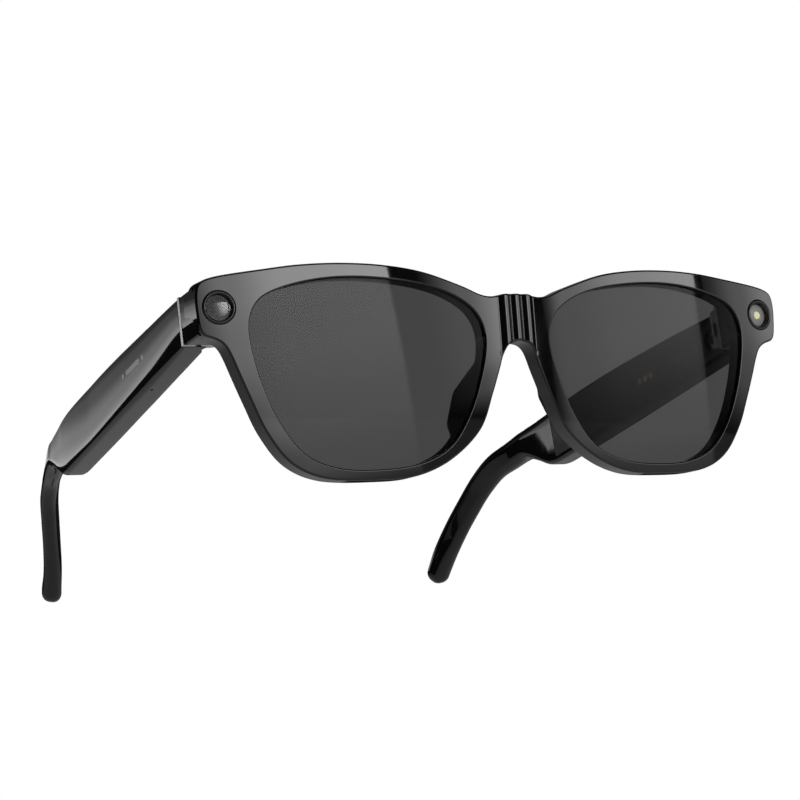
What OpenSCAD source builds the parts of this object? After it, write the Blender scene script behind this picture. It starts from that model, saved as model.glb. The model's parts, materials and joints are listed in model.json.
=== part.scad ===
// Camera smart glasses, standing on a table with the temples open.
// X runs across the face, Y runs back along the temples and Z is up. Millimetres.
// The glasses rest on the lower rims and on the tips of the ear hooks, at z = 0.

/* [Front] */
// Width of one lens opening
lens_w = 54.6; // [44:0.1:66]
// Height of one lens opening
lens_h = 41.2; // [34:0.1:50]
// Gap between the two lens openings
bridge_gap = 16.6; // [14:0.1:22]
// Width of an endpiece, from the lens opening to the side of the front
endpiece_w = 11.2; // [10.6:0.1:14]
// Height of the rim above the lens
brow_rim = 3.3; // [3:0.1:6]
// Height of the rim below the lens
lower_rim = 2.3; // [1.8:0.1:5]
// Width of the rim beside the lens
side_rim = 4.2; // [3:0.1:5]
// Height of the lens opening's top above the nose arch
lens_top = 14.9; // [13:0.1:20]
// Thickness of the rims, from front to back
rim_depth = 5.0; // [4.8:0.1:7]
// Radius of the front's gentle curve across the face
face_r = 540; // [300:10:1200]
// Lean of the front, with its top forward, in degrees
front_lean = 5.8; // [2:0.1:9]
// Height of an endpiece where it meets the temple
endpiece_h = 12.2; // [11.4:0.1:16]

/* [Lenses] */
// Thickness of a lens
lens_t = 2.0; // [1.6:0.1:2.4]
// Depth of the lens behind the front face
lens_inset = 0.8; // [0.5:0.1:1.2]
// How far the lens reaches into the groove of the rim
lens_bite = 0.9; // [0.6:0.1:1.1]
// Clearance round a lens in its groove
lens_gap = 0.08; // [0.04:0.01:0.15]

/* [Temples] */
// Depth of an endpiece, from the face at the side back to the temple's seam
end_depth = 8.9; // [7:0.1:12]
// Length of a temple, from the seam to the end of its ear hook
temple_len = 144; // [118:0.5:174]
// Length of the straight arm that holds the electronics
belly_len = 84; // [82:0.5:96]
// Height of the arm at the seam
arm_h_front = 10.5; // [10:0.1:13]
// Height of the arm at its deep rear end
arm_h_belly = 15.8; // [15:0.1:19]
// Thickness of the arm
arm_t = 6.1; // [5.8:0.1:8]
// Drop of the arm's middle line from the seam to its rear end
arm_fall = 6.3; // [4:0.1:9]
// Distance that the arm leans inwards from the seam to its rear end
arm_lean = 1.9; // [0:0.1:4]
// Distance that the ear hook leans inwards behind the arm
hook_lean = 11; // [6:0.5:14]
// Thickness of the outer wall of a temple shell
shell_wall = 1.2; // [0.9:0.1:1.6]
// Thickness of an inner cover
cover_t = 1.1; // [0.8:0.1:1.4]
// Clearance round an inner cover
cover_gap = 0.1; // [0.05:0.01:0.2]

/* [Ear hooks] */
// Radius of the rounded end of an ear hook
tip_r = 3.4; // [2.8:0.1:4]
// Turn of the hook's flat section, with its top inwards, in degrees
hook_turn = 36; // [20:1:40]
// Height of the metal core inside an ear hook
core_h = 2.0; // [1.4:0.1:2.2]
// Thickness of the metal core inside an ear hook
core_t = 1.5; // [1:0.1:1.6]
// Clearance round the metal core
core_gap = 0.05; // [0.03:0.01:0.1]

/* [Hinges] */
// Radius of a hinge knuckle
knuckle_r = 1.9; // [1.7:0.1:2.1]
// Radius of a hinge pin
pin_r = 0.8; // [0.6:0.05:1]
// Clearance of the pin in the middle knuckle, on the radius
pin_gap = 0.04; // [0.02:0.01:0.08]
// Height of one knuckle
knuckle_h = 2.9; // [2.5:0.1:3.2]
// Gap between two knuckles
knuckle_gap = 0.15; // [0.1:0.05:0.3]
// Thickness of a hinge plate
plate_t = 1.0; // [0.8:0.1:1.4]
// Distance of the hinge axis in from the arm's inner face
hinge_inset = 1.4; // [1.2:0.1:2]
// Gap between a hinge plate and the temple's end when the temple is open
seam_gap = 0.15; // [0.1:0.05:0.4]

/* [Camera and light] */
// Outer radius of the camera's bezel
bezel_r = 3.55; // [3.3:0.05:3.8]
// Radius of the camera's cover glass
glass_r = 2.75; // [2.4:0.05:2.9]
// Radius of the camera's lens barrel
barrel_r = 2.0; // [1.6:0.05:2.2]
// Side of the square camera module
module_w = 6.6; // [6:0.1:6.8]
// Distance of the camera and of the light in from the side of the front
eye_inset = 4.9; // [4.7:0.1:5.2]

/* [Buttons] */
// Length of a button cap
button_l = 8.4; // [7:0.1:10]
// Width of a button cap
button_w = 2.4; // [2:0.1:2.8]
// Height that a button stands above its surface
button_proud = 0.35; // [0.2:0.05:0.5]
// Travel of a button
button_travel = 0.3; // [0.2:0.05:0.4]
// Clearance round a button cap
button_gap = 0.12; // [0.08:0.01:0.2]

/* [Electronics] */
// Length of a battery
battery_l = 21; // [16:0.5:22]
// Height of a battery
battery_h = 9.6; // [8:0.1:10]
// Thickness of a battery
battery_t = 3.2; // [2.5:0.1:3.4]
// Length of a speaker
speaker_l = 9.5; // [8:0.1:10]
// Radius of the microphone's sound hole
mic_hole_r = 0.4; // [0.3:0.05:0.6]

/* [Hidden] */
$fn = 48;

// Front outline: half of the front lies between the nose and the side
lens_x0 = bridge_gap / 2;
lens_bottom = lens_top - lens_h;
side_x = lens_x0 + lens_w + endpiece_w;
seam_y = face_r - sqrt(face_r * face_r - side_x * side_x) + end_depth;
end_top = lens_top - 0.4;
end_mid = end_top - endpiece_h / 2;
end_bottom = end_top - endpiece_h;
arch_top = 1.2;
bridge_top = lens_top - 3.2;
rim_bottom = lens_bottom - lower_rim;

// Place of the front over the table, so that the lower rims touch z = 0
low_x = lens_x0 + 0.48 * lens_w;
low_y = face_r - sqrt(face_r * face_r - low_x * low_x);
arch_z = -rim_bottom * cos(front_lean) - low_y * sin(front_lean);

// Temple: the arm runs back from the seam, and the hook runs down to the table
arm_x = side_x - arm_t / 2;
arm_z = arch_z + end_mid * cos(front_lean) + 0.3;
arm_splay = atan(arm_lean / belly_len);
arm_pitch = atan(arm_fall / belly_len);
arm_end_y = seam_y + belly_len;
hook_y = arm_end_y + 8;
hook_z = arm_z - arm_fall + 0.8;
tip_y = seam_y + temple_len - tip_r;
overall_y0 = bridge_top * sin(front_lean) + 0.9;
middle_y = (seam_y + temple_len - overall_y0) / 2;

// Hinge axis, just inside the arm's inner face
hinge_x = side_x - arm_t - hinge_inset;
plate_w = arm_t + hinge_inset + knuckle_r + 0.5;
hinge_y = seam_y + knuckle_r + 0.2;
stack_h = 3 * knuckle_h + 2 * knuckle_gap;
relief_r = knuckle_r + 0.25;

// Cavity of the arm, along the arm from the seam
cavity_y0 = 12;
cavity_y1 = belly_len - 1;
cavity_wall = 1.3;
inner_face = -arm_t / 2;
cavity_back = arm_t / 2 - shell_wall;
boss_ys = [cavity_y0 + 2.6, cavity_y1 - 3.4];
boss_r = 1.6;
screw_r = 0.55;
screw_head_r = 1.05;
screw_head_t = 0.5;
plate_screw_l = 2.6;
board_y0 = cavity_y0 + 5.5;
inside_x = inner_face + cover_t + 0.1;
speaker_y = boss_ys[1] - 4 - speaker_l / 2;
battery_y = speaker_y - speaker_l / 2 - 1 - battery_l / 2;
board_t = 0.8;
sensor_t = 0.15;
board_end = battery_y - battery_l / 2 - 1;
capture_y = board_y0 + 4.5;
power_y = board_y0 + 4.5;
contact_y = battery_y - battery_l / 2 - 7;
contact_pitch = 2.6;
contact_r = 0.8;
magnet_r = 1.5;
mic_y = cavity_y0 + 13.5;
mic_x = 1.1;

// Hinge leaf along the arm, from the seam
leaf_y0 = 3.2;
leaf_y1 = cavity_y0 - 1.2;
leaf_x = inner_face + 0.9;
leaf_t = 0.9;
leaf_h = 5.4;
leaf_screw_y = leaf_y1 - 2.2;

// Camera and light stack, from the face inwards
eye_x = side_x - eye_inset;
eye_z = end_mid + 0.2;
eye_turn = asin(eye_x / face_r);
eye_y = face_r - sqrt(face_r * face_r - eye_x * eye_x);
bezel_proud = 0.3;
bezel_seat = 1.4;
glass_t = 0.7;
gasket_t = 0.4;
barrel_end = 5.0;
module_t = 1.6;
fit = 0.05;

// Flex channel in the back of the brow
channel_w = 1.9;
channel_d = 1.2;
flex_w = 1.3;
flex_t = 0.3;

// Smooth closed curve through points, four short steps between each two
function knot(a, b, c, d, t) = 0.5 * (2 * b + (c - a) * t
    + (2 * a - 5 * b + 4 * c - d) * t * t + (3 * b - a - 3 * c + d) * t * t * t);
function smooth(p, n = 4) = [for (i = [0:len(p) - 1], k = [0:n - 1])
    knot(p[(i + len(p) - 1) % len(p)], p[i], p[(i + 1) % len(p)], p[(i + 2) % len(p)], k / n)];

// Smooth open curve through points
function smooth_open(p, n = 4) = concat([for (i = [0:len(p) - 2], k = [0:n - 1])
    knot(p[max(i - 1, 0)], p[i], p[i + 1], p[min(i + 2, len(p) - 1)], k / n)],
    [p[len(p) - 1]]);

// Closed outline moved outwards by d, for points that run clockwise
function grown(p, d) = [for (i = [0:len(p) - 1])
    let (s = p[(i + 1) % len(p)] - p[(i + len(p) - 1) % len(p)])
    p[i] + d * [-s[1], s[0]] / norm(s)];

// Band round a path of [along, across, half width], measured square to the path
function band_side(p, e) = [for (i = [0:len(p) - 1])
    let (a = p[max(i - 1, 0)], b = p[min(i + 1, len(p) - 1)])
    let (s = [b[0] - a[0], b[1] - a[1]])
    [p[i][0], p[i][1]] + e * p[i][2] * [-s[1], s[0]] / norm(s)];
function reversed(p) = [for (i = [len(p) - 1:-1:0]) p[i]];
function band(p) = concat(band_side(p, 1), reversed(band_side(p, -1)));

// Point of the lens opening's box: u runs from nose to side, v from bottom to top
function lens_at(u, v) = [lens_x0 + u * lens_w, lens_bottom + v * lens_h];
lens_points = smooth([lens_at(0, 0.66), lens_at(0.025, 0.8), lens_at(0.11, 0.896),
    lens_at(0.25, 0.962), lens_at(0.45, 0.998), lens_at(0.64, 1), lens_at(0.81, 0.965),
    lens_at(0.94, 0.9), lens_at(0.993, 0.8), lens_at(0.998, 0.67), lens_at(0.965, 0.47),
    lens_at(0.9, 0.26), lens_at(0.8, 0.09), lens_at(0.66, 0.012), lens_at(0.48, 0),
    lens_at(0.32, 0.025), lens_at(0.19, 0.105), lens_at(0.1, 0.26), lens_at(0.035, 0.46)]);

// Brow: where its points lie along the lens, and how far above the lens's top
brow_us = [0.09, 0.26, 0.43, 0.61, 0.78, 0.93];
brow_drops = [4.8, 1.8, 0.4, 0, 0.4, 1.4];
function brow_at(i) = [lens_x0 + brow_us[i] * lens_w, lens_top + brow_rim - brow_drops[i]];

// Right half of the front's outline, clockwise from the top of the bridge
half_outline = concat(
    [[3.4, bridge_top - 0.1], [lens_x0 - 2.3, bridge_top - 0.6], [lens_x0 + 0.6, bridge_top - 0.1]],
    [for (i = [0:len(brow_us) - 1]) brow_at(i)],
    [[side_x - 5.8, end_top + 1.0], [side_x - 1.9, end_top], [side_x - 0.5, end_top - 1.1],
    [side_x, end_top - 3.4], [side_x, end_mid], [side_x - 0.5, end_bottom + 1.7],
    [side_x - 1.5, end_bottom + 0.2], [side_x - 3.4, end_bottom - 0.3],
    [side_x - 5.5, end_bottom - 1.6], [side_x - 6.8, end_bottom - 4]],
    [lens_at(0.975, 0.5) + [side_rim, 0], lens_at(0.932, 0.36) + [side_rim, 0],
    lens_at(0.88, 0.22) + [side_rim - 0.2, -0.9], lens_at(0.8, 0.09) + [side_rim - 0.9, -2],
    lens_at(0.69, 0) + [1.6, -lower_rim + 0.6], lens_at(0.5, 0) + [0, -lower_rim],
    lens_at(0.33, 0) + [0, -lower_rim + 0.7], lens_at(0.2, 0.09) + [-1.2, -lower_rim + 0.4],
    lens_at(0.1, 0.26) + [-3, -2.6], lens_at(0.035, 0.46) + [-3, -3],
    lens_at(0, 0.6) + [-3.2, -3.4], [3.1, arch_top - 1.2]]);
outline = smooth(concat([[0, bridge_top]], half_outline, [[0, arch_top]],
    [for (p = reversed(half_outline)) [-p[0], p[1]]]));

// Middle line of the brow, where the flex runs
function brow_mid(i, u, v) = (brow_at(i) + lens_at(u, v)) / 2;
half_flex = [[lens_x0 * 0.45, bridge_top - 4], [lens_x0, bridge_top - 2.3],
    brow_mid(0, 0.09, 0.882) + [0.2, 0], brow_mid(1, 0.26, 0.965), brow_mid(2, 0.43, 0.996),
    brow_mid(3, 0.61, 1), brow_mid(4, 0.78, 0.972), brow_mid(5, 0.93, 0.906)];
flex_line = smooth_open(concat([for (p = reversed(half_flex)) [-p[0], p[1]]],
    [[0, bridge_top - 4.7]], half_flex), 3);
function flex_band(w) = band([for (p = flex_line) [p[0], p[1], w / 2]]);

// Ear hook: [back, middle x, middle height, half thickness, half height, half turned width]
hook_x = arm_x - arm_lean;
hook_l = tip_y - hook_y;
hook_path = smooth_open([
    [hook_y, hook_x - 0.05 * hook_lean, hook_z, arm_t / 2, 4.3, 5],
    [hook_y + 0.145 * hook_l, hook_x - 0.11 * hook_lean, hook_z - 0.4, arm_t / 2 - 0.05, 3.9, 4.1],
    [hook_y + 0.29 * hook_l, hook_x - 0.22 * hook_lean, hook_z - 1.6, arm_t / 2 - 0.15, 3.6, 3.1],
    [hook_y + 0.43 * hook_l, hook_x - 0.36 * hook_lean, hook_z * 0.895, arm_t / 2 - 0.3, 3.4, 2.45],
    [hook_y + 0.575 * hook_l, hook_x - 0.49 * hook_lean, hook_z * 0.775, arm_t / 2 - 0.5, 3.3, 2.05],
    [hook_y + 0.69 * hook_l, hook_x - 0.645 * hook_lean, hook_z * 0.62, arm_t / 2 - 0.55, 3.25, 1.95],
    [hook_y + 0.795 * hook_l, hook_x - 0.79 * hook_lean, hook_z * 0.465, arm_t / 2 - 0.55, 3.25, 1.95],
    [hook_y + 0.905 * hook_l, hook_x - 0.93 * hook_lean, hook_z * 0.28, arm_t / 2 - 0.45, 3.35, 2.3],
    [tip_y, hook_x - hook_lean, tip_r, arm_t / 2 - 0.3, tip_r, 2.7]]);
hook_side = [for (p = hook_path) [p[0], p[2], p[4]]];

// Edges of the hook's flat section, seen along the turned direction
function turned(p) = p[1] * cos(hook_turn) + p[2] * sin(hook_turn);
turned_path = concat([[turned(hook_path[0]), hook_y - 3, 5]],
    [for (p = hook_path) [turned(p), p[0], p[5]]],
    [[turned(hook_path[len(hook_path) - 1]), tip_y + 9, 2.7]]);
turned_outline = concat([for (p = turned_path) [p[0] - p[2], p[1]]],
    reversed([for (p = turned_path) [p[0] + p[2], p[1]]]));

// Plan of a temple: [back, middle x, half thickness]
temple_plan = concat(smooth_open([[seam_y - 2, arm_x, arm_t / 2],
    [seam_y + belly_len / 2, arm_x - arm_lean / 2, arm_t / 2],
    [arm_end_y, hook_x, arm_t / 2], [arm_end_y + 4, hook_x - 0.015 * hook_lean, arm_t / 2]]),
    [for (p = hook_path) [p[0], p[1], p[3]]],
    [[tip_y + tip_r + 1, hook_x - 1.01 * hook_lean, arm_t / 2 - 0.25]]);
plan_outline = concat([for (p = temple_plan) [p[1] - p[2], p[0]]],
    reversed([for (p = temple_plan) [p[1] + p[2], p[0]]]));

// Side of a temple shell: the straight arm, its rounded belly and its upper edge
shell_side = concat([[seam_y + seam_gap, arm_z - arm_h_front / 2],
    [arm_end_y - 3, arm_z - arm_fall - arm_h_belly / 2]],
    smooth_open([[arm_end_y - 2, arm_z - arm_fall - arm_h_belly / 2 - 0.1],
    [arm_end_y + 2, arm_z - arm_fall - arm_h_belly / 2 + 0.2],
    [arm_end_y + 5.4, arm_z - arm_fall - arm_h_belly / 2 + 1.8],
    [hook_y, hook_z - 4.3]]),
    smooth_open([[hook_y, hook_z + 4.3],
    [arm_end_y - 8, arm_z - arm_fall + arm_h_belly / 2 + 0.4],
    [seam_y + belly_len / 2, arm_z + arm_h_front / 2 - 0.9],
    [seam_y + 17, arm_z + arm_h_front / 2],
    [seam_y + seam_gap, arm_z + arm_h_front / 2]]));

// Half height of the arm at a distance from the seam, measured square to the arm
function arm_half(y) = (arm_h_front + (arm_h_belly - arm_h_front) * y / belly_len) / 2;

// ---- Placing ----

// Whole object: its origin lies on the table, under the middle of its box
module place() {
    translate([0, -middle_y, 0]) children();
}

// Front: leans forward over the nose arch
module on_front() {
    place() translate([0, 0, arch_z]) rotate([front_lean, 0, 0]) children();
}

// Upright shape seen from the leaning front
module upright() {
    rotate([-front_lean, 0, 0]) translate([0, 0, -arch_z]) children();
}

// Arm: X is outwards, Y runs back from the seam, Z is up, for the left temple
module on_arm() {
    translate([arm_x, seam_y, arm_z]) rotate([0, 0, arm_splay]) rotate([-arm_pitch, 0, 0])
        children();
}

module to_right() {
    mirror([1, 0, 0]) children();
}

// Camera or light: X is across, Y runs inwards from the face
module on_eye() {
    translate([eye_x, eye_y, eye_z]) rotate([0, 0, eye_turn]) children();
}

// ---- Shapes ----

module prism(points, y0, y1) {
    translate([0, y1, 0]) rotate([90, 0, 0]) linear_extrude(y1 - y0) polygon(points);
}

// Curved slab of the front between two depths behind the face
module layer(d0, d1) {
    difference() {
        translate([0, face_r, -80]) cylinder(r = face_r - d0, h = 160, $fn = 360);
        translate([0, face_r, -81]) cylinder(r = face_r - d1, h = 162, $fn = 360);
    }
}

// Flat shape in the side view, given thickness from x0 to x1
module side_prism(points, x0, x1) {
    translate([x0, 0, 0]) rotate([90, 0, 90]) linear_extrude(x1 - x0) polygon(points);
}

// Disc or hole of a camera stack, between two depths
module disc(r, d0, d1) {
    translate([0, d1, 0]) rotate([90, 0, 0]) cylinder(r = r, h = d1 - d0);
}

// Box with its middle at x, y, z
module block(x, y, z, w, l, h) {
    translate([x - w / 2, y - l / 2, z - h / 2]) cube([w, l, h]);
}

// Rounded bar along Y, thick along X
module bar_x(l, w, x0, x1) {
    mid_l = l - w;
    translate([x0, 0, 0]) rotate([90, 0, 90]) linear_extrude(x1 - x0) union() {
        square([mid_l, w], center = true);
        translate([-mid_l / 2, 0]) circle(r = w / 2);
        translate([mid_l / 2, 0]) circle(r = w / 2);
    }
}

// The same bar, thick along Z
module bar_z(l, w, z0, z1) {
    rotate([0, -90, 0]) bar_x(l, w, z0, z1);
}

// ---- Front ----

module endpiece_block() {
    intersection() {
        prism(outline, -5, 40);
        translate([0, face_r, -80]) cylinder(r = face_r, h = 160, $fn = 360);
        translate([side_x - plate_w - 0.2, -10, end_bottom - 5]) cube([30, 60, 40]);
        upright() translate([0, -20, arm_z - arm_h_front / 2])
            cube([side_x, seam_y - plate_t + 20, arm_h_front]);
    }
}

// Stepped pocket behind the camera or the light
module eye_pocket() {
    on_eye() {
        disc(bezel_r + fit, -3, bezel_seat);
        disc(barrel_r + 0.3, bezel_seat - 0.5, barrel_end + 0.5);
        block(0, barrel_end + 10, 0, module_w + 0.2, 20, module_w + 0.2);
    }
}

module plate_screw_holes(r, y0, y1) {
    for (s = [-1, 1])
        translate([arm_x - 0.7, y1, arm_z + s * 4.5]) rotate([90, 0, 0]) cylinder(r = r, h = y1 - y0);
}

module bridge_ribs() {
    intersection() {
        for (x = [-2.8, 0, 2.8])
            translate([x, 0.75, -5]) cylinder(r = 1.6, h = 40);
        prism(outline, -5, 3);
    }
}

module front_frame() {
    color([0.03, 0.03, 0.035]) on_front() difference() {
        union() {
            intersection() {
                prism(outline, -5, 30);
                layer(0, rim_depth);
            }
            endpiece_block();
            to_right() endpiece_block();
            bridge_ribs();
        }
        for (s = [0, 1]) mirror([s, 0, 0]) {
            prism(lens_points, -5, 30);
            lens_blank(lens_bite + lens_gap, lens_gap);
            eye_pocket();
            upright() plate_screw_holes(screw_r, seam_y - plate_screw_l - 0.3, seam_y);
        }
        intersection() {
            prism(flex_band(channel_w), -5, 30);
            layer(rim_depth - channel_d, rim_depth + 3);
        }
    }
}

module brow_cover() {
    color([0.05, 0.05, 0.055]) on_front() intersection() {
        prism(flex_band(channel_w - 2 * fit), -5, 30);
        layer(rim_depth - channel_d + flex_t + 0.1, rim_depth);
    }
}

module front_flex() {
    color([0.55, 0.36, 0.1]) on_front() intersection() {
        prism(flex_band(flex_w), -5, 30);
        layer(rim_depth - channel_d + 0.02, rim_depth - channel_d + 0.02 + flex_t);
    }
}

// Lens with its edge reach and a clearance in thickness, for the left side
module lens_blank(reach, clear) {
    intersection() {
        prism(grown(lens_points, reach), -5, 30);
        layer(lens_inset - clear, lens_inset + lens_t + clear);
    }
}

module lens_left() {
    color([0.12, 0.12, 0.13, 0.6]) on_front() lens_blank(lens_bite, 0);
}

module lens_right() {
    color([0.12, 0.12, 0.13, 0.6]) on_front() to_right() lens_blank(lens_bite, 0);
}

// Nose pad: a splayed drop on the back of the rim's nose side
module nose_pad() {
    intersection() {
        hull() {
            translate([lens_x0 - 0.5, rim_depth + 0.2, lens_top - 18.5]) sphere(r = 1.2, $fn = 24);
            translate([lens_x0 + 2.7, rim_depth + 3.7, lens_top - 24.5]) sphere(r = 1.7, $fn = 24);
            translate([lens_x0 + 5.2, rim_depth + 2.8, lens_top - 31]) sphere(r = 1.7, $fn = 24);
            translate([lens_x0 + 6.2, rim_depth, lens_top - 35.5]) sphere(r = 1.2, $fn = 24);
            translate([lens_x0 + 0.9, rim_depth - 0.5, lens_top - 26]) sphere(r = 1.4, $fn = 24);
        }
        translate([0, face_r, -80]) cylinder(r = face_r - rim_depth, h = 160, $fn = 360);
    }
}

module nose_pad_left() {
    color([0.05, 0.05, 0.055]) on_front() nose_pad();
}

module nose_pad_right() {
    color([0.05, 0.05, 0.055]) on_front() to_right() nose_pad();
}

// ---- Camera in the right endpiece, light in the left ----

module camera_bezel() {
    color([0.1, 0.1, 0.11]) on_front() to_right() on_eye() difference() {
        disc(bezel_r, -bezel_proud, bezel_seat);
        disc(glass_r + fit, -1, bezel_seat - gasket_t);
        disc(glass_r - 0.6, -1, bezel_seat + 1);
    }
}

module camera_window() {
    color([0.1, 0.11, 0.16, 0.7]) on_front() to_right() on_eye()
        disc(glass_r, bezel_seat - gasket_t - glass_t, bezel_seat - gasket_t - 0.02);
}

module camera_gasket() {
    color([0.02, 0.02, 0.02]) on_front() to_right() on_eye() difference() {
        disc(barrel_r + 0.25, bezel_seat + 0.02, bezel_seat + gasket_t);
        disc(barrel_r - 0.4, bezel_seat - 1, bezel_seat + 1);
    }
}

module camera_barrel() {
    color([0.08, 0.08, 0.09]) on_front() to_right() on_eye()
        disc(barrel_r, bezel_seat + gasket_t + 0.02, barrel_end + 0.52);
}

module camera_module() {
    color([0.1, 0.25, 0.15]) on_front() to_right() on_eye()
        block(0, barrel_end + 0.55 + module_t / 2, 0, module_w, module_t, module_w);
}

module led_bezel() {
    color([0.1, 0.1, 0.11]) on_front() on_eye() difference() {
        disc(bezel_r, -bezel_proud, bezel_seat);
        disc(glass_r + fit, -1, bezel_seat - gasket_t);
        disc(glass_r - 0.6, -1, bezel_seat + 1);
    }
}

module led_window() {
    color([0.9, 0.9, 0.85]) on_front() on_eye()
        disc(glass_r, bezel_seat - gasket_t - glass_t, bezel_seat - gasket_t - 0.02);
}

module led_board() {
    color([0.1, 0.25, 0.15]) on_front() on_eye() {
        disc(barrel_r + 0.2, bezel_seat + 2.2, bezel_seat + 2.8);
        block(0, bezel_seat + 1.7, 0, 1.6, 1, 1.6);
    }
}

// ---- Hinges ----

// One of the three knuckles of a hinge, counted from the bottom
module knuckle(i, hole) {
    z = arm_z - stack_h / 2 + i * (knuckle_h + knuckle_gap);
    translate([hinge_x, hinge_y, z]) difference() {
        union() {
            cylinder(r = knuckle_r, h = knuckle_h);
            children();
        }
        translate([0, 0, -1]) cylinder(r = hole, h = knuckle_h + 2);
    }
}

module hinge_plate() {
    difference() {
        translate([side_x - plate_w, seam_y - plate_t, arm_z - arm_h_front / 2])
            cube([plate_w - 0.05, plate_t, arm_h_front]);
        plate_screw_holes(screw_r + fit, seam_y - plate_t - 1, seam_y + 1);
        plate_screw_holes(screw_head_r + fit, seam_y - screw_head_t, seam_y + 1);
    }
    for (i = [0, 2]) knuckle(i, pin_r + 0.02)
        translate([-knuckle_r, seam_y - hinge_y - 0.2, 0])
            cube([knuckle_r + hinge_inset - seam_gap, hinge_y - seam_y + 0.2, knuckle_h]);
}

module hinge_plate_left() {
    color([0.75, 0.75, 0.77]) place() hinge_plate();
}

module hinge_plate_right() {
    color([0.75, 0.75, 0.77]) place() to_right() hinge_plate();
}

module plate_screws() {
    color([0.3, 0.3, 0.32]) place() for (s = [0, 1]) mirror([s, 0, 0]) {
        plate_screw_holes(screw_r - fit, seam_y - plate_screw_l, seam_y - 0.1);
        plate_screw_holes(screw_head_r, seam_y - screw_head_t + fit, seam_y - fit);
    }
}

module hinge_pin() {
    z = arm_z - stack_h / 2;
    translate([hinge_x, hinge_y, z - 0.2]) cylinder(r = pin_r, h = stack_h + 0.4);
    translate([hinge_x, hinge_y, z + stack_h + 0.02]) cylinder(r = pin_r + 0.5, h = 0.4);
}

module hinge_pin_left() {
    color([0.6, 0.6, 0.62]) place() hinge_pin();
}

module hinge_pin_right() {
    color([0.6, 0.6, 0.62]) place() to_right() hinge_pin();
}

// Leaf of the temple: the middle knuckle and a strip screwed to the shell
module hinge_leaf() {
    knuckle(1, pin_r + pin_gap)
        translate([0, -0.6, 0]) cube([hinge_inset + 1.4, 2, knuckle_h]);
    difference() {
        union() {
            on_arm() block(leaf_x + leaf_t / 2, (leaf_y0 + leaf_y1) / 2, 0,
                leaf_t, leaf_y1 - leaf_y0, leaf_h);
            translate([side_x - arm_t + 0.6, hinge_y - 0.6, arm_z - knuckle_h / 2])
                cube([0.9, 4, knuckle_h]);
        }
        on_arm() translate([-9, leaf_screw_y, 0]) rotate([0, 90, 0]) cylinder(r = screw_r + fit, h = 12);
    }
}

module hinge_leaf_left() {
    color([0.7, 0.7, 0.72]) place() hinge_leaf();
}

module hinge_leaf_right() {
    color([0.7, 0.7, 0.72]) place() to_right() hinge_leaf();
}

module leaf_screw() {
    on_arm() translate([0, leaf_screw_y, 0]) {
        translate([leaf_x - screw_head_t, 0, 0]) rotate([0, 90, 0])
            cylinder(r = screw_head_r, h = screw_head_t - 0.02);
        translate([leaf_x - 0.1, 0, 0]) rotate([0, 90, 0]) cylinder(r = screw_r - fit, h = 3);
    }
}

module leaf_screws_left() {
    color([0.3, 0.3, 0.32]) place() leaf_screw();
}

module leaf_screws_right() {
    color([0.3, 0.3, 0.32]) place() to_right() leaf_screw();
}

// ---- Temples ----

// Outline of the arm's cavity in the side view, drawn in by a margin
function cavity_outline(m) = [
    [cavity_y0 + m, -arm_half(cavity_y0) + cavity_wall + m],
    [cavity_y1 - m, -arm_half(cavity_y1) + cavity_wall + m],
    [cavity_y1 - m, arm_half(cavity_y1) - cavity_wall - m],
    [cavity_y0 + m, arm_half(cavity_y0) - cavity_wall - m]];

module cover_holes(r, x0, x1) {
    for (y = boss_ys) translate([x0, y, 0]) rotate([0, 90, 0]) cylinder(r = r, h = x1 - x0);
}

module tenon(m) {
    block(0, cavity_y1 + 5.3, 0.6, 3 + m, 7.8 + m, 4.4 + m);
}

// Recess for the hinge: round the knuckles, and for the leaf behind them
module hinge_recess() {
    translate([hinge_x, hinge_y, arm_z - 30]) cylinder(r = relief_r, h = 60);
    on_arm() {
        block(leaf_x - 4, (leaf_y1 + 0.1) / 2 - 1, 0, 8 + 2 * leaf_t + 0.1, leaf_y1 + 2.1, leaf_h + 0.2);
        translate([leaf_x, leaf_screw_y, 0]) rotate([0, 90, 0]) cylinder(r = screw_r, h = 3.3);
    }
}

module temple_shell() {
    difference() {
        intersection() {
            side_prism(shell_side, side_x - 30, side_x + 5);
            translate([0, 0, -10]) linear_extrude(140) polygon(plan_outline);
        }
        difference() {
            on_arm() side_prism(cavity_outline(0), inner_face - 4, cavity_back);
            on_arm() cover_holes(boss_r, inner_face + cover_t + 0.1, cavity_back + 1);
        }
        on_arm() cover_holes(screw_r, inner_face, cavity_back + 0.5);
        on_arm() tenon(2 * fit);
        hinge_recess();
        on_arm() translate([mic_x, mic_y, -arm_half(mic_y) - 1]) cylinder(r = mic_hole_r, h = 4);
        children();
    }
}

module temple_shell_left() {
    color([0.03, 0.03, 0.035]) place() temple_shell();
}

module temple_shell_right() {
    color([0.03, 0.03, 0.035]) place() to_right() temple_shell()
        on_arm() capture_place() bar_z(button_l + 2 * button_gap, button_w + 2 * button_gap, -3, 3);
}

module inner_cover() {
    difference() {
        on_arm() side_prism(cavity_outline(cover_gap), inner_face, inner_face + cover_t);
        on_arm() cover_holes(screw_r + fit, inner_face - 1, inner_face + cover_t + 1);
        on_arm() cover_holes(screw_head_r + fit, inner_face - 1, inner_face + screw_head_t + fit);
        on_arm() translate([0, speaker_y, -1.5]) bar_x(6.2, 1.9, inner_face - 1, inner_face + cover_t + 1);
        children();
    }
}

module inner_cover_right() {
    color([0.05, 0.05, 0.055]) place() to_right() inner_cover();
}

module inner_cover_left() {
    color([0.05, 0.05, 0.055]) place() inner_cover() on_arm() {
        translate([0, power_y, 0])
            bar_x(button_l + 2 * button_gap, button_w + 2 * button_gap, inner_face - 1, 0);
        contacts(contact_r + fit, inner_face - 1, inner_face + cover_t + 1);
    }
}

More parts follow.
